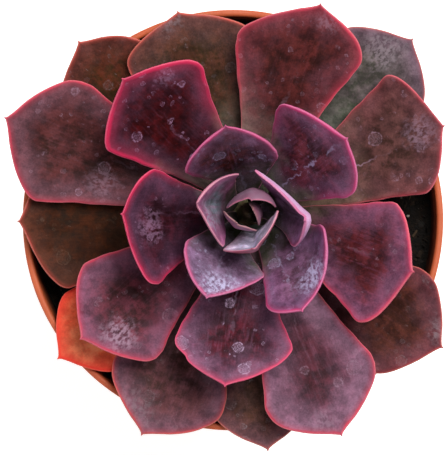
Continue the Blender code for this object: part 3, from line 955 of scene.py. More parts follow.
@dataclass(frozen=True)
class Leaf:
    """One leaf: lengths in millimetres, angles in degrees. Left is left as seen from the stem."""

    place: int
    turn: float
    reach: float
    lift: float
    left: float
    right: float
    shoulder_left: float = 0.76
    shoulder_right: float = 0.76
    full_left: float = 1.6
    full_right: float = 1.6
    cup_left: float = 12.0
    cup_right: float = 12.0
    fold_left: float = 0.0
    fold_right: float = 0.0
    root_slope: float | None = None
    tip_slope: float | None = None
    swing: float = 0.36
    notches: tuple = ()

    stations: int = 96
    columns: int = 45
    wedge_power: float = 1.12
    corner_rounding: float = 0.05
    upper_share: float = 0.35
    crease_width: float = 1.5
    crease_growth: float = 0.4
    point_length: float = 1.3
    point_half_width: float = 0.55
    point_overlap: float = 0.55
    lens_power: float = 0.8
    upper_belly: float = 0.68
    bead_height: float = 0.12
    bead_place: float = 0.75
    bead_width: float = 0.5
    bead_start: tuple[float, float] = (3.0, 12.0)
    groove_depth: float = 0.30
    groove_width: float = 1.4
    groove_end: tuple[float, float] = (48.0, 10.0)
    full_relief_width: float = 24.0
    phase_step: float = 0.61
    phase_shift: float = 0.3
    outline_points: int = 500

    # Waves of the margins to a leaf, and their phase from leaf to leaf and from side to side
    WAVES = (1.4, 0.37, 0.25)
    # Of the outline's swells: rise, waves to a leaf and share of the leaf's own phase
    SWELLS = ((0.012, 3.3, 1.0), (0.006, 8.7, 2.3))
    # Height of the dents, their size across and along, and first seed, in millimetres
    DENTS = ((0.26, 9, 11, 100), (0.10, 3.4, 4.2, 200), (0.03, 1.3, 1.7, 300))

    @property
    def name(self) -> str:
        """Name of the leaf's solid."""
        return f"leaf_{self.place:02d}"

    @property
    def slopes(self) -> tuple[float, float]:
        """Slope of the midrib, the leaf's own or else its age's.

        Returns:
            Slope at the root and at the tip, in radians.
        """
        pairs = (self.root_slope, SPIRAL.root_slopes), (self.tip_slope, SPIRAL.tip_slopes)
        return tuple(math.radians(SPIRAL.at(self.place, aged) if own is None else own) for own, aged in pairs)

    def flank(self, along: Array, half_width: float, shoulder: float, full: float) -> Array:
        """Half width: a wedge widening to the shoulder, then a curve closing to the tip.

        Args:
            along: Share of the length.
            half_width: Half width at the shoulder.
            shoulder: Share of the length at the shoulder.
            full: Power of the closing curve; more is blunter.

        Returns:
            Half widths in the shape of along.
        """
        root = SPIRAL.at(self.place, SPIRAL.root_half_widths)
        wedge = root + (half_width - root) * np.clip(along / shoulder, 0, 1) ** self.wedge_power
        beyond = np.clip((along - shoulder) / (1 - shoulder), 0, 1)
        return np.where(along <= shoulder, wedge, half_width * (1 - beyond**full))

    def half_widths(self, along: Array, side: int, length: float) -> Array:
        """The flank with rounded corners, uneven as grown, with its notches and a small sharp point.

        The body of the blade closes a little before the tip, and a thin cone runs on to it. The
        outline swells and shrinks by less than one part in fifty, in two waves of unlike length.

        Args:
            along: Share of the length.
            side: 1 for the left flank, -1 for the right one.
            length: Length of the midrib.

        Returns:
            Half widths in millimetres.
        """
        half_width, shoulder, full = (
            (self.left, self.shoulder_left, self.full_left)
            if side > 0
            else (self.right, self.shoulder_right, self.full_right)
        )
        body = np.clip(along / (1 - self.point_overlap * self.point_length / length), 0, 1)
        blur = self.corner_rounding
        width = 0.5 * self.flank(body, half_width, shoulder, full)
        for shift in (-blur, blur):
            width += 0.25 * self.flank(np.clip(body + shift, 0, 1), half_width, shoulder, full)
        width *= np.clip((1 - body) / blur, 0, 1) ** 0.5
        phase = self.place * self.phase_step + self.phase_shift * side
        for rise, waves, own in self.SWELLS:
            width *= 1 + rise * np.sin(2 * np.pi * (waves * along + own * phase))
        for notch in self.notches:
            if notch.side == side:
                off = (along - notch.along) * length / notch.length
                width -= notch.depth * np.exp(-(off**2))
        left_over = (1 - along) * length / self.point_length
        point = self.point_half_width * np.clip(left_over, 0, 1) ** 0.8
        return np.where(left_over < 1, np.maximum(width, point), width)

    def midrib(self, samples: int = 600) -> tuple[Array, Array, Array, float]:
        """Centre line: a Bezier curve in its upright plane, turned sideways by the leaf's turn.

        The curve starts clear of the stem with the root's slope and ends with the tip's slope. Its
        direction swings from the spiral's by turn times 1 - (1 - t) squared.

        Args:
            samples: Number of points, evenly spaced.

        Returns:
            Share of the length, points, sideways directions and the length in millimetres.
        """
        root_slope, tip_slope = self.slopes
        root_height = SPIRAL.lowest_root + SPIRAL.root_pitch * (SPIRAL.last_place - self.place)
        start_radius = Stem.radius_at(root_height) + CLEARANCE
        thickness = SPIRAL.at(self.place, SPIRAL.root_thicknesses)
        start_radius += self.upper_share * thickness * math.sin(root_slope)
        start = np.array((start_radius, root_height))
        end = np.array((self.reach, self.lift))
        arm = self.swing * np.linalg.norm(end - start)
        first = start + arm * np.array((math.cos(root_slope), math.sin(root_slope)))
        second = end - arm * np.array((math.cos(tip_slope), math.sin(tip_slope)))
        u = np.linspace(0, 1, samples)[:, None]
        curve = (1 - u) ** 3 * start + 3 * (1 - u) ** 2 * u * first
        curve += 3 * (1 - u) * u**2 * second + u**3 * end
        steps = np.linalg.norm(np.diff(curve, axis=0), axis=1)
        walked = np.concatenate(((0.0,), np.cumsum(steps)))
        along = np.linspace(0, 1, samples)
        radius = np.interp(along * walked[-1], walked, curve[:, 0])
        height = np.interp(along * walked[-1], walked, curve[:, 1])
        direction = SPIRAL.first_direction - SPIRAL.golden_angle * self.place
        angle = np.radians(direction + self.turn * (1 - (1 - along) ** 2))
        points = around_axis(radius, height, angle)
        sideways = np.stack((-np.sin(angle), np.cos(angle), 0 * angle), axis=1)
        return along, points, sideways, float(walked[-1])

    def relief(self, across: Array, along: Array) -> Array:
        """Height of the upper face's own unevenness: broad dents, finer ones and a shallow midrib.

        Args:
            across: Offset from the midrib in millimetres.
            along: Distance from the root in millimetres.

        Returns:
            Heights in millimetres.
        """
        x, y = across + 40, along + 40
        dents = 0.0
        for rise, wide, long, seed in self.DENTS:
            dents = dents + rise * lattice_noise(x / wide, y / long, seed + self.place)
        groove = self.groove_depth * np.exp(-((across / self.groove_width) ** 2))
        groove = groove * smooth_share(along, *self.groove_end)
        return (dents - groove) * min(1.0, (self.left + self.right) / self.full_relief_width)

    def blade(self) -> dict[str, Array]:
        """Closed skin of the leaf as rings of points, with what its finish reads at each of them.

        Each cross-section is an arc that curls up by the cup angle at either margin, and either half
        is turned up about the midrib by its fold angle, growing from the root. The two faces
        stand off that arc by 35 and 65 hundredths of the depth, which is greatest at the midrib and
        falls with (1 - v squared) to the power 0.8. The margin is rounded by half its thickness and
        has a slight bead. Columns crowd towards the margins as the sine of their number.

        Returns:
            Rings as (ring, side, 3), the poles, and for each point its place on the blade, its distance
            from the margin, its share of the length and 1 on the upper face. Lengths are millimetres.
        """
        along, points, sideways, length = self.midrib()
        share = np.linspace(0, 1, self.stations)
        stations = (0.55 * share + 0.45 * np.sin(share * np.pi / 2))[:-1]
        tangents = unit(np.gradient(points, axis=0))

        def at_stations(values: Array) -> Array:
            """Rows of values at the stations."""
            return np.stack([np.interp(stations, along, values[:, k]) for k in range(3)], axis=1)

        centre = at_stations(points)
        tangent = unit(at_stations(tangents))
        across = at_stations(sideways)
        across = unit(across - tangent * (across * tangent).sum(axis=1, keepdims=True))
        up = np.cross(tangent, across)

        columns = np.sin(np.linspace(-1, 1, self.columns) * np.pi / 2)
        is_left = columns >= 0
        flanks = (self.half_widths(stations, side, length)[:, None] for side in (1, -1))
        widths = np.where(is_left[None, :], *flanks)
        offset = columns[None, :] * widths
        full_width = np.where(is_left, self.left, self.right)[None, :]
        cup = np.radians(np.where(is_left, self.cup_left, self.cup_right))[None, :]
        bend_radius = full_width / cup
        bend = offset / bend_radius
        out, rise = bend_radius * np.sin(bend), bend_radius * (1 - np.cos(bend))
        fold = np.radians(np.where(is_left, self.fold_left, -self.fold_right))[None, :]
        fold = fold * np.clip(stations / self.crease_growth, 0, 1)[:, None]
        fold = fold * (1 - np.exp(-((offset / self.crease_width) ** 2)))
        out, rise = out * np.cos(fold) - rise * np.sin(fold), out * np.sin(fold) + rise * np.cos(fold)
        across, up = across[:, None, :], up[:, None, :]
        middle = centre[:, None, :] + across * out[..., None] + up * rise[..., None]
        normal = up * np.cos(bend + fold)[..., None] - across * np.sin(bend + fold)[..., None]

        waves, step, shift = self.WAVES
        phase = waves * stations[:, None] + step * self.place + shift * np.sign(columns)[None, :]
        wave_height = SPIRAL.at(self.place, SPIRAL.wave_heights)
        wave = wave_height * (offset / full_width) ** 2 * np.sin(2 * np.pi * phase)
        middle = middle + normal * wave[..., None]

        belly = SPIRAL.at(self.place, SPIRAL.belly_thicknesses)
        margin = SPIRAL.at(self.place, SPIRAL.margin_thicknesses)
        root = SPIRAL.at(self.place, SPIRAL.root_thicknesses)
        thickness = (root, belly, self.upper_belly * belly, margin)
        thickness = np.interp(stations, (0, 0.4, 0.75, 1), thickness)
        lens = np.clip(1 - columns**2, 0, 1) ** self.lens_power
        depth = margin + (thickness[:, None] - margin) * lens[None, :]
        distance = self.margin_distance(offset, stations * length, length)
        inward = 1 - np.clip(distance / (0.5 * margin), 0, 1)
        inward = np.maximum(inward, 1 - np.clip((widths - np.abs(offset)) / (0.5 * margin), 0, 1))
        rounding = np.sqrt(np.clip(1 - inward**2, 0, 1))
        far = stations[:, None] * length + 0 * offset
        bead = np.exp(-(((distance - self.bead_place) / self.bead_width) ** 2))
        bead = self.bead_height * margin * bead * smooth_share(far, *self.bead_start)
        rise = (self.upper_share * depth + bead + self.relief(offset, far) * (1 - inward)) * rounding
        upper = middle + normal * rise[..., None]
        lower = middle - normal * ((1 - self.upper_share) * depth * rounding)[..., None]

        def around(above: Array, below: Array) -> Array:
            """Values of the upper face from right to left, then the lower one's back again."""
            return np.concatenate((above, below[:, -2:0:-1]), axis=1)

        seed = np.full_like(offset, 10.0 * self.place)
        above, below = (np.stack((offset, far, seed + shift), axis=-1) for shift in (0, 5))
        return {
            "rings": around(upper, lower),
            "first": centre[0] - tangent[0] * 0.5,
            "last": points[-1],
            "blade": around(above, below),
            "edge": around(distance, distance),
            "share": np.repeat(stations[:, None], 2 * self.columns - 2, axis=1),
            "upper": around(np.ones_like(offset), np.zeros_like(offset)),
        }

    def margin_distance(self, offset: Array, along: Array, length: float) -> Array:
        """Distance of each point of the flattened blade from its outline.

        Args:
            offset: Offsets from the midrib as (station, column).
            along: Distance of each station from the root.
            length: Length of the midrib.

        Returns:
            Distances in millimetres, as (station, column).
        """
        share = np.linspace(0, 1, self.outline_points)
        outline = np.concatenate(
            [np.stack((side * self.half_widths(share, side, length), share * length), 1) for side in (1, -1)]
        )
        here = np.stack((offset, along[:, None] + 0 * offset), axis=-1).reshape(-1, 1, 2)
        return np.linalg.norm(here - outline[None], axis=2).min(axis=1).reshape(offset.shape)

    def build(self) -> None:
        """Make the leaf's fine surface, dress it and put it in place of its solid."""
        skin = self.blade()
        points, faces = closed_tube(skin["rings"], skin["first"], skin["last"])
        piece = add_piece(f"skin_{self.place:02d}", (points + STEM_AXIS) * MM, faces)
        for name in ("blade", "edge", "share", "upper"):
            values = skin[name].reshape(len(points) - 2, -1)
            values = np.concatenate((values, values[[0, -1]]))
            if name == "edge":
                values[-1] = 0.0
            add_values(piece, name, values if name == "blade" else values[:, 0])
        slot = next(name for last, name in SLOTS if self.place <= last)
        settle(piece, SKINS[self.place].material(f"leaf_skin_{self.place:02d}"), slot, self.name)


@dataclass
class Rosette:
    """All the leaves, innermost first."""

    # place, turn, reach, lift, left, right
    leaves: tuple[Leaf, ...] = (
        Leaf(0, 54, 1.6, 30, 2.8, 4.6, 0.66, 0.66, 1.6, 1.6, 30, 30, tip_slope=95),
        Leaf(1, 24, 4.0, 31, 6.6, 4.8, 0.68, 0.68, 1.6, 1.6, 20, 14, 24, -12, tip_slope=95),
        Leaf(2, 14, 3.4, 33, 9.4, 7.6, 0.68, 0.68, 1.6, 2.2, 46, 56, 26, -12, root_slope=68, tip_slope=115),
        Leaf(3, -6, 9.6, 34, 13.4, 8.3, 0.66, 0.66, 1.1, 2, 24, 12, 36, 0, tip_slope=104),
        Leaf(4, 24, 14.3, 34, 13.8, 13.1, 0.66, 0.66, 1.1, 1.5, 18, 60, 26, 6),
        Leaf(5, -15, 15.4, 35, 20.0, 8.8, 0.56, 0.62, 1.8, 1.8, 12, 24, 47, 6, 46, 104, 0.43),
        Leaf(6, 14, 26, 35, 13.9, 11.4, 0.51, 0.50, 1.0, 2.6, 20, 29),
        Leaf(7, 12, 24.8, 35, 15.2, 12.4, 0.66, 0.52, 1.8, 2.0, 30, 24),
        Leaf(8, -16, 31, 34, 19.4, 8.4, 0.56, 0.78, 2.2, 2.8, 62, 8),
        Leaf(9, 3, 35, 31, 20, 12.8, 0.72, 0.72, 2.4, 2, 14, 14),
        Leaf(10, -3, 34.4, 31, 19.4, 13.6, 0.72, 0.72, 1.8, 3, 14, 14),
        Leaf(11, 0, 48.6, 25, 18, 16, 0.73, 0.73, full_right=2.1, notches=(Notch(-1, 0.83, 1.1, 1.5),)),
        Leaf(12, 8, 51.2, 24, 17.5, 19.3),
        Leaf(13, -7, 49.2, 22, 17.2, 18.8, shoulder_right=0.8, full_left=1.5, full_right=2.4),
        Leaf(14, 7, 58.8, 16, 18.2, 16.6, shoulder_right=0.74),
        Leaf(15, -1.8, 62.3, 16, 20.2, 16.8, 0.72, 0.81, 1.5, 2.3),
        Leaf(16, -2, 68, 14, 17.5, 17.4, full_right=2.4),
        Leaf(17, 1, 73.5, 12, 19.2, 18.4, full_left=1.7, full_right=1.8),
        Leaf(18, 4, 61, 9.5, 20.4, 15.6, 0.86, 0.78, 2.4, 1.8),
        Leaf(19, 2, 69.6, 8, 18.8, 17, full_left=2.2),
        Leaf(20, 4, 60.7, 6, 18.9, 18.6, 0.79, 0.79, full_left=3.2),
        Leaf(21, -2, 67.4, 6, 15.8, 18.4, full_left=1.6, full_right=2.0),
        Leaf(22, -8, 65.2, 5, 19.5, 17.4, full_left=2.0, full_right=2.5),
        Leaf(23, -6, 68.2, 7, 16.6, 16.8, 0.78, 0.78, 2.1, 2.0),
        Leaf(24, 0, 67.7, 4.5, 14.2, 15, 0.78, 0.78, 1.8, 2.2),
        Leaf(25, -3, 68.6, 4.8, 19, 14, 0.78, 0.78, 2.2, 2.0),
        Leaf(27, -5, 68, 3.6, 14, 14.5, 0.8, 0.8),
    )

    def build(self) -> None:
        """Build every leaf."""
        for leaf in self.leaves:
            leaf.build()


@dataclass
class Stem:
    """The short stem: a turned body with the scars of fallen leaves on its spiral. Millimetres."""

    sides: int = 72
    rows: int = 160
    scars_around: int = 3
    scar_height: float = 0.22
    roughness: float = 0.12
    end_gap: float = 0.2
    seed: int = 7

    # Height above the rim and radius, from the growing tip down to the root end
    PROFILE = (
        (21.0, 0.0), (19.0, 0.8), (14.0, 1.4), (9.0, 1.4), (7.0, 2.4), (4.0, 3.6),
        (0.0, 4.6), (-10.0, 5.0), (-26.0, 4.4), (-36.0, 2.6), (-40.0, 0.0),
    )

    @classmethod
    def radius_at(cls, height: float) -> float:
        """Radius at a height above the rim, both in millimetres."""
        heights, radii = zip(*reversed(cls.PROFILE))
        return float(np.interp(height, heights, radii))

    def build(self) -> None:
        """Turn the profile, raise its scars, roughen it and dress it.

        The radius is the profile's, plus low ridges where the phase of the leaf spiral comes round,
        plus fine random roughness.
        """
        heights, radii = (np.array(values) for values in zip(*self.PROFILE))
        row = np.linspace(heights[0] - self.end_gap, heights[-1] + self.end_gap, self.rows)[:, None]
        radius = np.interp(-row, -heights, radii)
        angle = full_turn(self.sides)
        turn = np.radians(SPIRAL.golden_angle) * row / SPIRAL.root_pitch
        scars = np.clip(np.cos(self.scars_around * angle + self.scars_around * turn), 0, 1) ** 3
        rough = lattice_noise(angle * 4 + 30, row / 0.8 + 60, self.seed)
        grown = np.minimum(1.0, radius / 3)
        radius = radius + grown * (self.scar_height * scars + self.roughness * rough)
        ring = around_axis(radius, row, angle)
        first, last = (np.array((0.0, 0.0, heights[k])) for k in (0, -1))
        points, faces = closed_tube(ring, first, last)
        piece = add_piece("stem_bark", (points + STEM_AXIS) * MM, faces)
        settle(piece, self.finish(), "stem_skin", "stem")

    def finish(self) -> bpy.types.Material:
        """Greenish brown skin with dry brown patches.

        Returns:
            The material.
        """
        graph = Finish("stem_bark")
        spot = graph.place()
        patch = graph.noise(spot, 420.0, 5.0).ease(0.42, 0.6)
        grain = graph.noise(graph.stretch(spot, (1.0, 1.0, 3.0)), 1300.0, 4.0)
        colour = graph.mix(patch, srgb(104, 102, 66), srgb(96, 70, 46))
        colour = graph.mix(grain.ease(0.5, 0.7), colour, srgb(134, 112, 84))
        graph.coat(colour, grain * 0.3 + 0.6)
        graph.emboss(grain, 0.0003, 0.8)
        return graph.material


@dataclass(frozen=True)
class Grains:
    """One kind of loose grain: how many, how large in millimetres, and its darkest and lightest."""

    name: str
    count: int
    smallest: tuple[float, float, float]
    largest: tuple[float, float, float]
    dark: Colour
    light: Colour


@dataclass
class Soil:
    """Potting mix: a body with a crumbly top, and loose crumbs, chips and grit on it. Millimetres."""

    level: float = 85.0
    dish: float = 2.0
    dish_radius: float = 30.0
    wall_gap: float = 0.3
    rings: int = 150
    sides: int = 300
    buried: float = 1.5
    scatter_radius: float = 55.8
    crumbs: Grains = Grains(
        "soil_crumbs", 2600, (0.5, 0.5, 0.4), (2.6, 2.2, 1.6), srgb(14, 11, 9), srgb(40, 31, 23)
    )
    chips: Grains = Grains(
        "soil_chips", 200, (1.4, 0.25, 0.2), (6.5, 0.9, 0.5), srgb(30, 22, 16), srgb(96, 76, 54)
    )
    grit: Grains = Grains(
        "soil_grit", 150, (0.4, 0.4, 0.3), (1.3, 1.2, 0.9), srgb(80, 76, 66), srgb(190, 186, 172)
    )
    seed: int = 11

    # Size and rise of the lumps, and their seed
    LUMPS = ((11, 0.7, 1), (4.8, 0.5, 2), (2.1, 0.4, 3), (0.9, 0.25, 4))

    def height(self, x: Array, y: Array) -> Array:
        """Level of the surface: a shallow dish towards the stem, with lumps of four sizes.

        The dish is a bell curve of the distance from the axis. Towards the wall the lumps are lower, by
        the sixth power of that distance.

        Args:
            x: Places along X, in millimetres.
            y: Places along Y.

        Returns:
            Heights in the shape of x.
        """
        out = np.hypot(x, y)
        level = self.level - self.dish * np.exp(-((out / self.dish_radius) ** 2))
        settled = 1 - 0.7 * (out / 60) ** 6
        for size, rise, number in self.LUMPS:
            level = level + settled * rise * lattice_noise(x / size + 30, y / size + 30, number)
        return level

    def build_body(self, wall: Array) -> None:
        """Crumbly top on a plain turned body.

        The top is a grid of rings, each point at the surface's level. Below it the rings run down the
        pot's inner wall and in along its floor.

        Args:
            wall: The pot's inner wall as rows of radius and height, from the top down.
        """
        edge = wall[0, 0] - self.wall_gap
        radius = np.linspace(0, edge, self.rings)[1:]
        angle = full_turn(self.sides)
        top = around_axis(radius[:, None], 0.0, angle)
        top[..., 2] = self.height(top[..., 0], top[..., 1])
        below = wall[wall[:, 1] < self.level - self.buried]
        height = np.maximum(below[:, 1], below[-1, 1] + self.wall_gap)
        side = around_axis(below[:, :1] - self.wall_gap, height[:, None], angle)
        middle = np.array((0.0, 0.0, float(self.height(np.zeros(1), np.zeros(1))[0])))
        foot = np.array((0.0, 0.0, height[-1]))
        points, faces = closed_tube(np.concatenate((top, side)), middle, foot)
        piece = add_piece("soil_body", points * MM, faces, sharp=50.0)
        settle(piece, self.finish(), "potting_soil", "soil")

    def scatter(self, kind: Grains, shape: Array, faces: Array, seed: int) -> bpy.types.Object:
        """Lay copies of a small closed shape on the surface, each turned and sized at random.

        Every copy is turned by a random rotation, stretched by random sizes and sunk by a third.

        Args:
            kind: The grains' number and sizes.
            shape: Points of the shape, about one across.
            faces: Its triangles.
            seed: Seed of the draw.

        Returns:
            The piece.
        """
        count = kind.count
        draw = np.random.default_rng(seed)
        out = self.scatter_radius * np.sqrt(draw.uniform(0.02, 1, count))
        angle = draw.uniform(0, 2 * np.pi, count)
        x, y = out * np.cos(angle), out * np.sin(angle)
        low, high = np.array(kind.smallest), np.array(kind.largest)
        scale = low + (high - low) * draw.uniform(0, 1, (count, 3)) ** 2
        jitter = 1 + 0.22 * draw.uniform(-1, 1, (count, len(shape), 1))
        grain = shape[None] * jitter * scale[:, None, :]
        spin, lean = draw.uniform(0, 2 * np.pi, count), draw.normal(0, 0.35, count)
        (cos, sin), (cos_lean, sin_lean) = ((np.cos(turn), np.sin(turn)) for turn in (spin, lean))
        rows = ((cos, -sin * cos_lean, sin * sin_lean), (sin, cos * cos_lean, -cos * sin_lean))
        rows += ((0 * spin, sin_lean, cos_lean),)
        turn = np.stack([np.stack(row, axis=1) for row in rows], axis=1)
        grain = np.einsum("nij,nkj->nki", turn, grain)
        middle = np.stack((x, y, self.height(x, y) + 0.15 * scale[:, 2]), axis=1)
        points = (grain + middle[:, None, :]).reshape(-1, 3)
        numbers = (faces[None] + len(shape) * np.arange(count)[:, None, None]).reshape(-1, 3)
        piece = add_piece(kind.name, points * MM, numbers.tolist(), sharp=30.0)
        add_values(piece, "grain", np.repeat(draw.uniform(0, 1, count), len(shape)))
        return piece

    def build_loose(self) -> None:
        """Scatter the crumbs, the bark chips and the pale grit.

        They share the shape of twenty triangles: its twelve corners read nothing, one and the golden
        ratio by turns, and each triangle joins three corners that are nearest to one another.
        """
        golden = (1 + math.sqrt(5)) / 2
        signs = [(a, b * golden) for a in (-1, 1) for b in (-1, 1)]
        ball = [(0, a, b) for a, b in signs] + [(a, b, 0) for a, b in signs]
        ball = np.array(ball + [(a * golden, 0, b) for a in (-1, 1) for b in (-1, 1)], float)
        near = np.linalg.norm(ball[:, None] - ball[None], axis=2) < 2.1
        i, j, k = np.meshgrid(*[np.arange(len(ball))] * 3, indexing="ij")
        faces = np.argwhere((i < j) & (j < k) & near[i, j] & near[j, k] & near[i, k])
        a, b, c = (ball[faces[:, corner]] for corner in range(3))
        inward = (np.cross(b - a, c - a) * a).sum(axis=1) < 0
        faces[inward] = faces[inward][:, ::-1]
        ball = unit(ball) / 2
        for step, kind in enumerate((self.crumbs, self.chips, self.grit)):
            piece = self.scatter(kind, ball, faces, self.seed + step)
            settle(piece, self.grain_finish(kind), "potting_soil")

    def finish(self) -> bpy.types.Material:
        """Dark damp mix with browner crumbs.

        Returns:
            The material.
        """
        graph = Finish("soil_body")
        spot = graph.place()
        tint = graph.cells(spot, 900.0)[1][0]
        colour = graph.mix(tint.ease(0.5, 1.0), srgb(13, 10, 8), srgb(34, 26, 19))
        colour = graph.mix(graph.noise(spot, 160.0).ease(0.45, 0.7), colour, srgb(18, 14, 11))
        graph.coat(colour, tint * 0.25 + 0.72, 0.2)
        graph.emboss(graph.noise(spot, 1500.0, 5.0), 0.0006, 1.0)
        return graph.material

    def grain_finish(self, kind: Grains) -> bpy.types.Material:
        """Loose grains, each with a shade of its own between dark and light.

        Args:
            kind: The grains' name and colours.

        Returns:
            The material.
        """
        graph = Finish(kind.name)
        own = graph.stored("grain")
        fibre = graph.noise(graph.stretch(graph.place(), (1.0, 1.0, 2.5)), 2400.0)
        colour = graph.mix(own**2.2, kind.dark, kind.light)
        colour = graph.mix(fibre.ease(0.45, 0.7) * 0.6, colour, kind.dark)
        graph.coat(colour, own * 0.25 + 0.7, 0.25)
        graph.emboss(fibre, 0.0002, 0.8)
        return graph.material


@dataclass
class Pot:
    """Moulded nursery pot with a collar band, a rolled rim and drain holes. Millimetres."""

    height: float = 95.0
    rim_radius: float = 60.0
    rim_width: float = 2.0
    band_height: float = 14.0
    band_taper: float = 1.3
    wall: float = 1.5
    slope: float = 8.0
    base: float = 1.8
    shoulder_radius: float = 57.0
    ledge_rise: float = 3.0
    ledge_taper: float = 0.6
    band_undercut: float = 0.6
    hole_count: int = 8
    hole_radius: float = 3.5
    hole_circle: float = 37.0
    hole_sides: int = 32
    plug_ends: tuple[float, float] = (-3.0, 6.0)
    floor_flat: float = 12.0
    soil_edge: float = 88.0
    sides: int = 192
    sharp: float = 40.0

    def corners(self) -> list[tuple[float, float, float]]:
        """Corners of the profile, from the floor up the inside, over the rim and down to the foot.

        Returns:
            Radius, height and rounding of each corner.
        """
        lean = math.tan(math.radians(self.slope))
        shoulder = self.height - self.band_height
        foot = self.shoulder_radius - shoulder * lean
        top = self.rim_radius - self.rim_width
        outer = self.rim_radius - self.band_taper
        return [
            (foot - self.wall - self.floor_flat, self.base, 0.0),
            (foot - self.wall + self.base * lean, self.base, 2.0),
            (self.shoulder_radius - self.wall, shoulder, 1.2),
            (top - self.band_taper * self.ledge_taper, shoulder + self.ledge_rise, 1.2),
            (top, self.height, 0.9),
            (self.rim_radius, self.height, 0.9),
            (outer, shoulder, 0.8),
            (self.shoulder_radius, shoulder - self.band_undercut, 0.5),
            (foot, 0.0, 1.2),
            (foot - self.floor_flat, 0.0, 0.0),
        ]

    def profile(self, steps: int = 6, spacing: float = 3.0) -> Array:
        """The corners joined by straight walls, each corner rounded by a quadratic Bezier curve.

        Args:
            steps: Points on a rounded corner, less one.
            spacing: Longest step on a straight wall.

        Returns:
            Rows of radius and height.
        """
        corners = self.corners()
        rows = [np.array(corners[0][:2])]
        for before, here, after in zip(corners, corners[1:], corners[2:]):
            a, b, c = (np.array(corner[:2]) for corner in (before, here, after))
            start = b + (a - b) * min(0.5, here[2] / np.linalg.norm(a - b))
            end = b + (c - b) * min(0.5, here[2] / np.linalg.norm(c - b))
            share = np.linspace(0, 1, steps + 1)[:, None]
            rows.extend((1 - share) ** 2 * start + 2 * share * (1 - share) * b + share**2 * end)
        rows.append(np.array(corners[-1][:2]))
        filled = [rows[0]]
        for a, b in zip(rows, rows[1:]):
            count = max(1, int(np.ceil(np.linalg.norm(b - a) / spacing)))
            filled.extend(a + (b - a) * (k + 1) / count for k in range(count))
        return np.array(filled)

    def inner_wall(self) -> Array:
        """Inner wall from just above the soil down to the floor.

        Returns:
            Rows of radius and height.
        """
        rows = self.profile()
        inner = rows[: int(np.argmax(rows[:, 1]))]
        return inner[inner[:, 1] < self.soil_edge][::-1]

    def build(self) -> None:
        """Turn the profile about Z, bore the drain holes and dress the pot."""
        rows = self.profile()
        rings = around_axis(rows[:, :1], rows[:, 1:], full_turn(self.sides))
        first, last = (np.array((0.0, 0.0, height)) for height in (self.base, 0.0))
        points, faces = closed_tube(rings, first, last)
        piece = add_piece("pot_shell", points * MM, faces, self.sharp)
        self.bore_holes(piece)
        settle(piece, self.finish(), "terracotta_plastic", "pot")

    def bore_holes(self, piece: bpy.types.Object) -> None:
        """Cut the drain holes: one round plug on each place of a circle, taken off the floor.

        Args:
            piece: The pot.
        """
        ends = np.array(self.plug_ends)[:, None]
        rings = around_axis(self.hole_radius, ends, full_turn(self.hole_sides))
        plug, faces = closed_tube(rings, *(np.array((0.0, 0.0, end)) for end in self.plug_ends))
        step = np.arange(self.hole_count)
        middle = around_axis(self.hole_circle, 0.0, 2 * np.pi * (step + 0.5) / self.hole_count)
        points = (plug[None] + middle[:, None]).reshape(-1, 3)
        numbers = [[n + len(plug) * k for n in face] for k in step.tolist() for face in faces]
        cutter = add_piece("drain_plugs", points * MM, numbers)
        cut = piece.modifiers.new("drain_holes", "BOOLEAN")
        cut.operation, cut.solver, cut.object = "DIFFERENCE", "EXACT", cutter
        bpy.context.view_layer.update()
        bored = bpy.data.meshes.new_from_object(piece.evaluated_get(bpy.context.evaluated_depsgraph_get()))
        piece.modifiers.clear()
        piece.data = bored
        bored.name = piece.name
        bored.shade_smooth()
        bored.set_sharp_from_angle(angle=math.radians(self.sharp))
        bpy.data.objects.remove(cutter, do_unlink=True)

    def finish(self) -> bpy.types.Material:
        """Satin orange-brown plastic: mottled and dusty, with painted shade on the inner wall, darker towards
        the soil, and soil stains on the foot.

        The inner wall is where the surface looks towards the axis.

        Returns:
            The material.
        """
        graph = Finish("pot_plastic")
        spot = graph.place()
        x, y, z = graph.parts(spot)
        grime = Grime().use(graph, {"Size": 120.0})
        facing = graph.parts(graph.out("TexCoord", {}, "Normal"))
        outward = (facing[0] * x + facing[1] * y) / (x * x + y * y).root()
        inside = outward.fall(-0.5, -0.1)
        # noise that roughens the edge of the darker band near the soil and of the dust at the foot
        damp = graph.noise(spot, 260.0, 5.0)
        darker_near_soil = inside * z.ragged(damp, 0.008).fall(0.086, 0.0925)
        colour = graph.lay(
            srgb(198, 99, 62),
            (grime["Cloud"], srgb(190, 88, 52)),
            (grime["Scratch"] * 0.25, srgb(226, 150, 112)),
            # painted shade on the inner wall
            (inside * 0.35, srgb(150, 70, 38)),
            # the inner wall turns darker towards the soil
            (darker_near_soil * 0.85, srgb(52, 34, 24)),
            (z.ragged(damp, 0.010).fall(0.0, 0.009) * 0.35, srgb(150, 104, 78)),
            (grime["Speck"] * 0.35, srgb(120, 84, 62)),
        )
        graph.coat(colour, grime["Cloud"] * 0.12 + 0.42 + darker_near_soil * 0.3, 0.3)
        graph.emboss(graph.noise(spot, 1400.0) + grime["Scratch"] * -0.4, 0.00008, 0.6)
        return graph.material


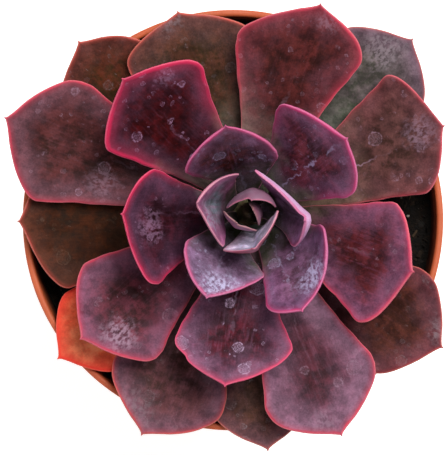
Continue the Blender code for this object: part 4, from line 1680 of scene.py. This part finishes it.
@dataclass
class Studio:
    """Plain pale floor, soft light and the camera straight above."""

    floor_size: float = 8.0
    camera_height: float = 0.995
    camera_place: tuple = (-0.0027, -0.0021)
    rim_height: float = 0.095
    picture_height: float = 455 * 0.2846 * MM
    sensor: float = 36.0
    sky_strength: float = 0.24
    floor_glow: float = 0.68
    floor_squares: int = 8
    floor_height: float = -0.0002
    aim: tuple = (0.0, 0.0, 0.1)

    def build(self) -> None:
        """Lay the floor, hang the lights and set the camera."""
        self.lay_floor()
        self.add_light("key", (0.46, 0.60, 1.38), 0.9, 26.0, (1.0, 0.98, 0.95))
        self.add_light("fill", (-0.9, -0.5, 1.1), 1.2, 5.0, (0.95, 0.97, 1.0))
        world = bpy.data.worlds.new("studio")
        world.use_nodes = True
        background = world.node_tree.nodes["Background"]
        background.inputs["Color"].default_value = (1.0, 1.0, 1.0, 1.0)
        background.inputs["Strength"].default_value = self.sky_strength
        bpy.context.scene.world = world
        self.set_camera()
        bpy.context.scene.view_settings.view_transform = "Standard"

    def lay_floor(self) -> None:
        """A pale sheet under the pot."""
        half = self.floor_size / 2
        side = self.floor_squares + 1
        x, y = np.meshgrid(*[np.linspace(-half, half, side)] * 2, indexing="ij")
        points = np.stack((x, y, np.full_like(x, self.floor_height)), axis=-1).reshape(-1, 3)
        corner = np.arange(side * side).reshape(side, side)[:-1, :-1].reshape(-1)
        faces = np.stack((corner, corner + side, corner + side + 1, corner + 1), axis=1)
        floor = add_piece("floor", points, faces.tolist())
        graph = Finish("floor_paper")
        grain = graph.noise(graph.place(), 90.0, 4.0)
        graph.coat(graph.mix(grain, (0.92, 0.92, 0.92), (0.95, 0.95, 0.95)), 0.9)
        graph.feed(graph.shader.inputs["Emission Color"], (1.0, 1.0, 1.0))
        graph.feed(graph.shader.inputs["Emission Strength"], self.floor_glow)
        floor.data.materials.append(graph.material)

    def add_light(self, name: str, place: tuple, size: float, power: float, colour: Colour) -> None:
        """Hang a square soft light that faces the plant.

        Args:
            name: The light's name.
            place: Where it hangs, in metres.
            size: Side of the square, in metres.
            power: Watts.
            colour: Tint.
        """
        lamp = bpy.data.lights.new(name, "AREA")
        lamp.size = size
        lamp.energy = power
        lamp.color = colour
        light = bpy.data.objects.new(name, lamp)
        bpy.context.scene.collection.objects.link(light)
        light.location = place
        light.visible_camera = False
        aim = np.array(self.aim) - np.array(place)
        light.rotation_euler = (
            math.atan2(math.hypot(aim[0], aim[1]), -aim[2]),
            0.0,
            math.atan2(aim[1], aim[0]) - math.pi / 2,
        )

    def set_camera(self) -> None:
        """Look straight down; the picture's height covers 129.5 mm at the level of the rim."""
        camera = bpy.data.cameras.new("camera")
        camera.sensor_width = self.sensor
        camera.lens = self.sensor * (self.camera_height - self.rim_height) / self.picture_height
        view = bpy.data.objects.new("camera", camera)
        bpy.context.scene.collection.objects.link(view)
        view.location = (*self.camera_place, self.camera_height)
        bpy.context.scene.camera = view


def main() -> None:
    """Build every sub-assembly in order."""
    logging.basicConfig(level=logging.INFO, format="%(name)s %(message)s")
    pot = Pot()
    soil = Soil()
    pot.build()
    soil.build_body(pot.inner_wall())
    soil.build_loose()
    Stem().build()
    Rosette().build()
    Studio().build()


if __name__ == "__main__":
    main()
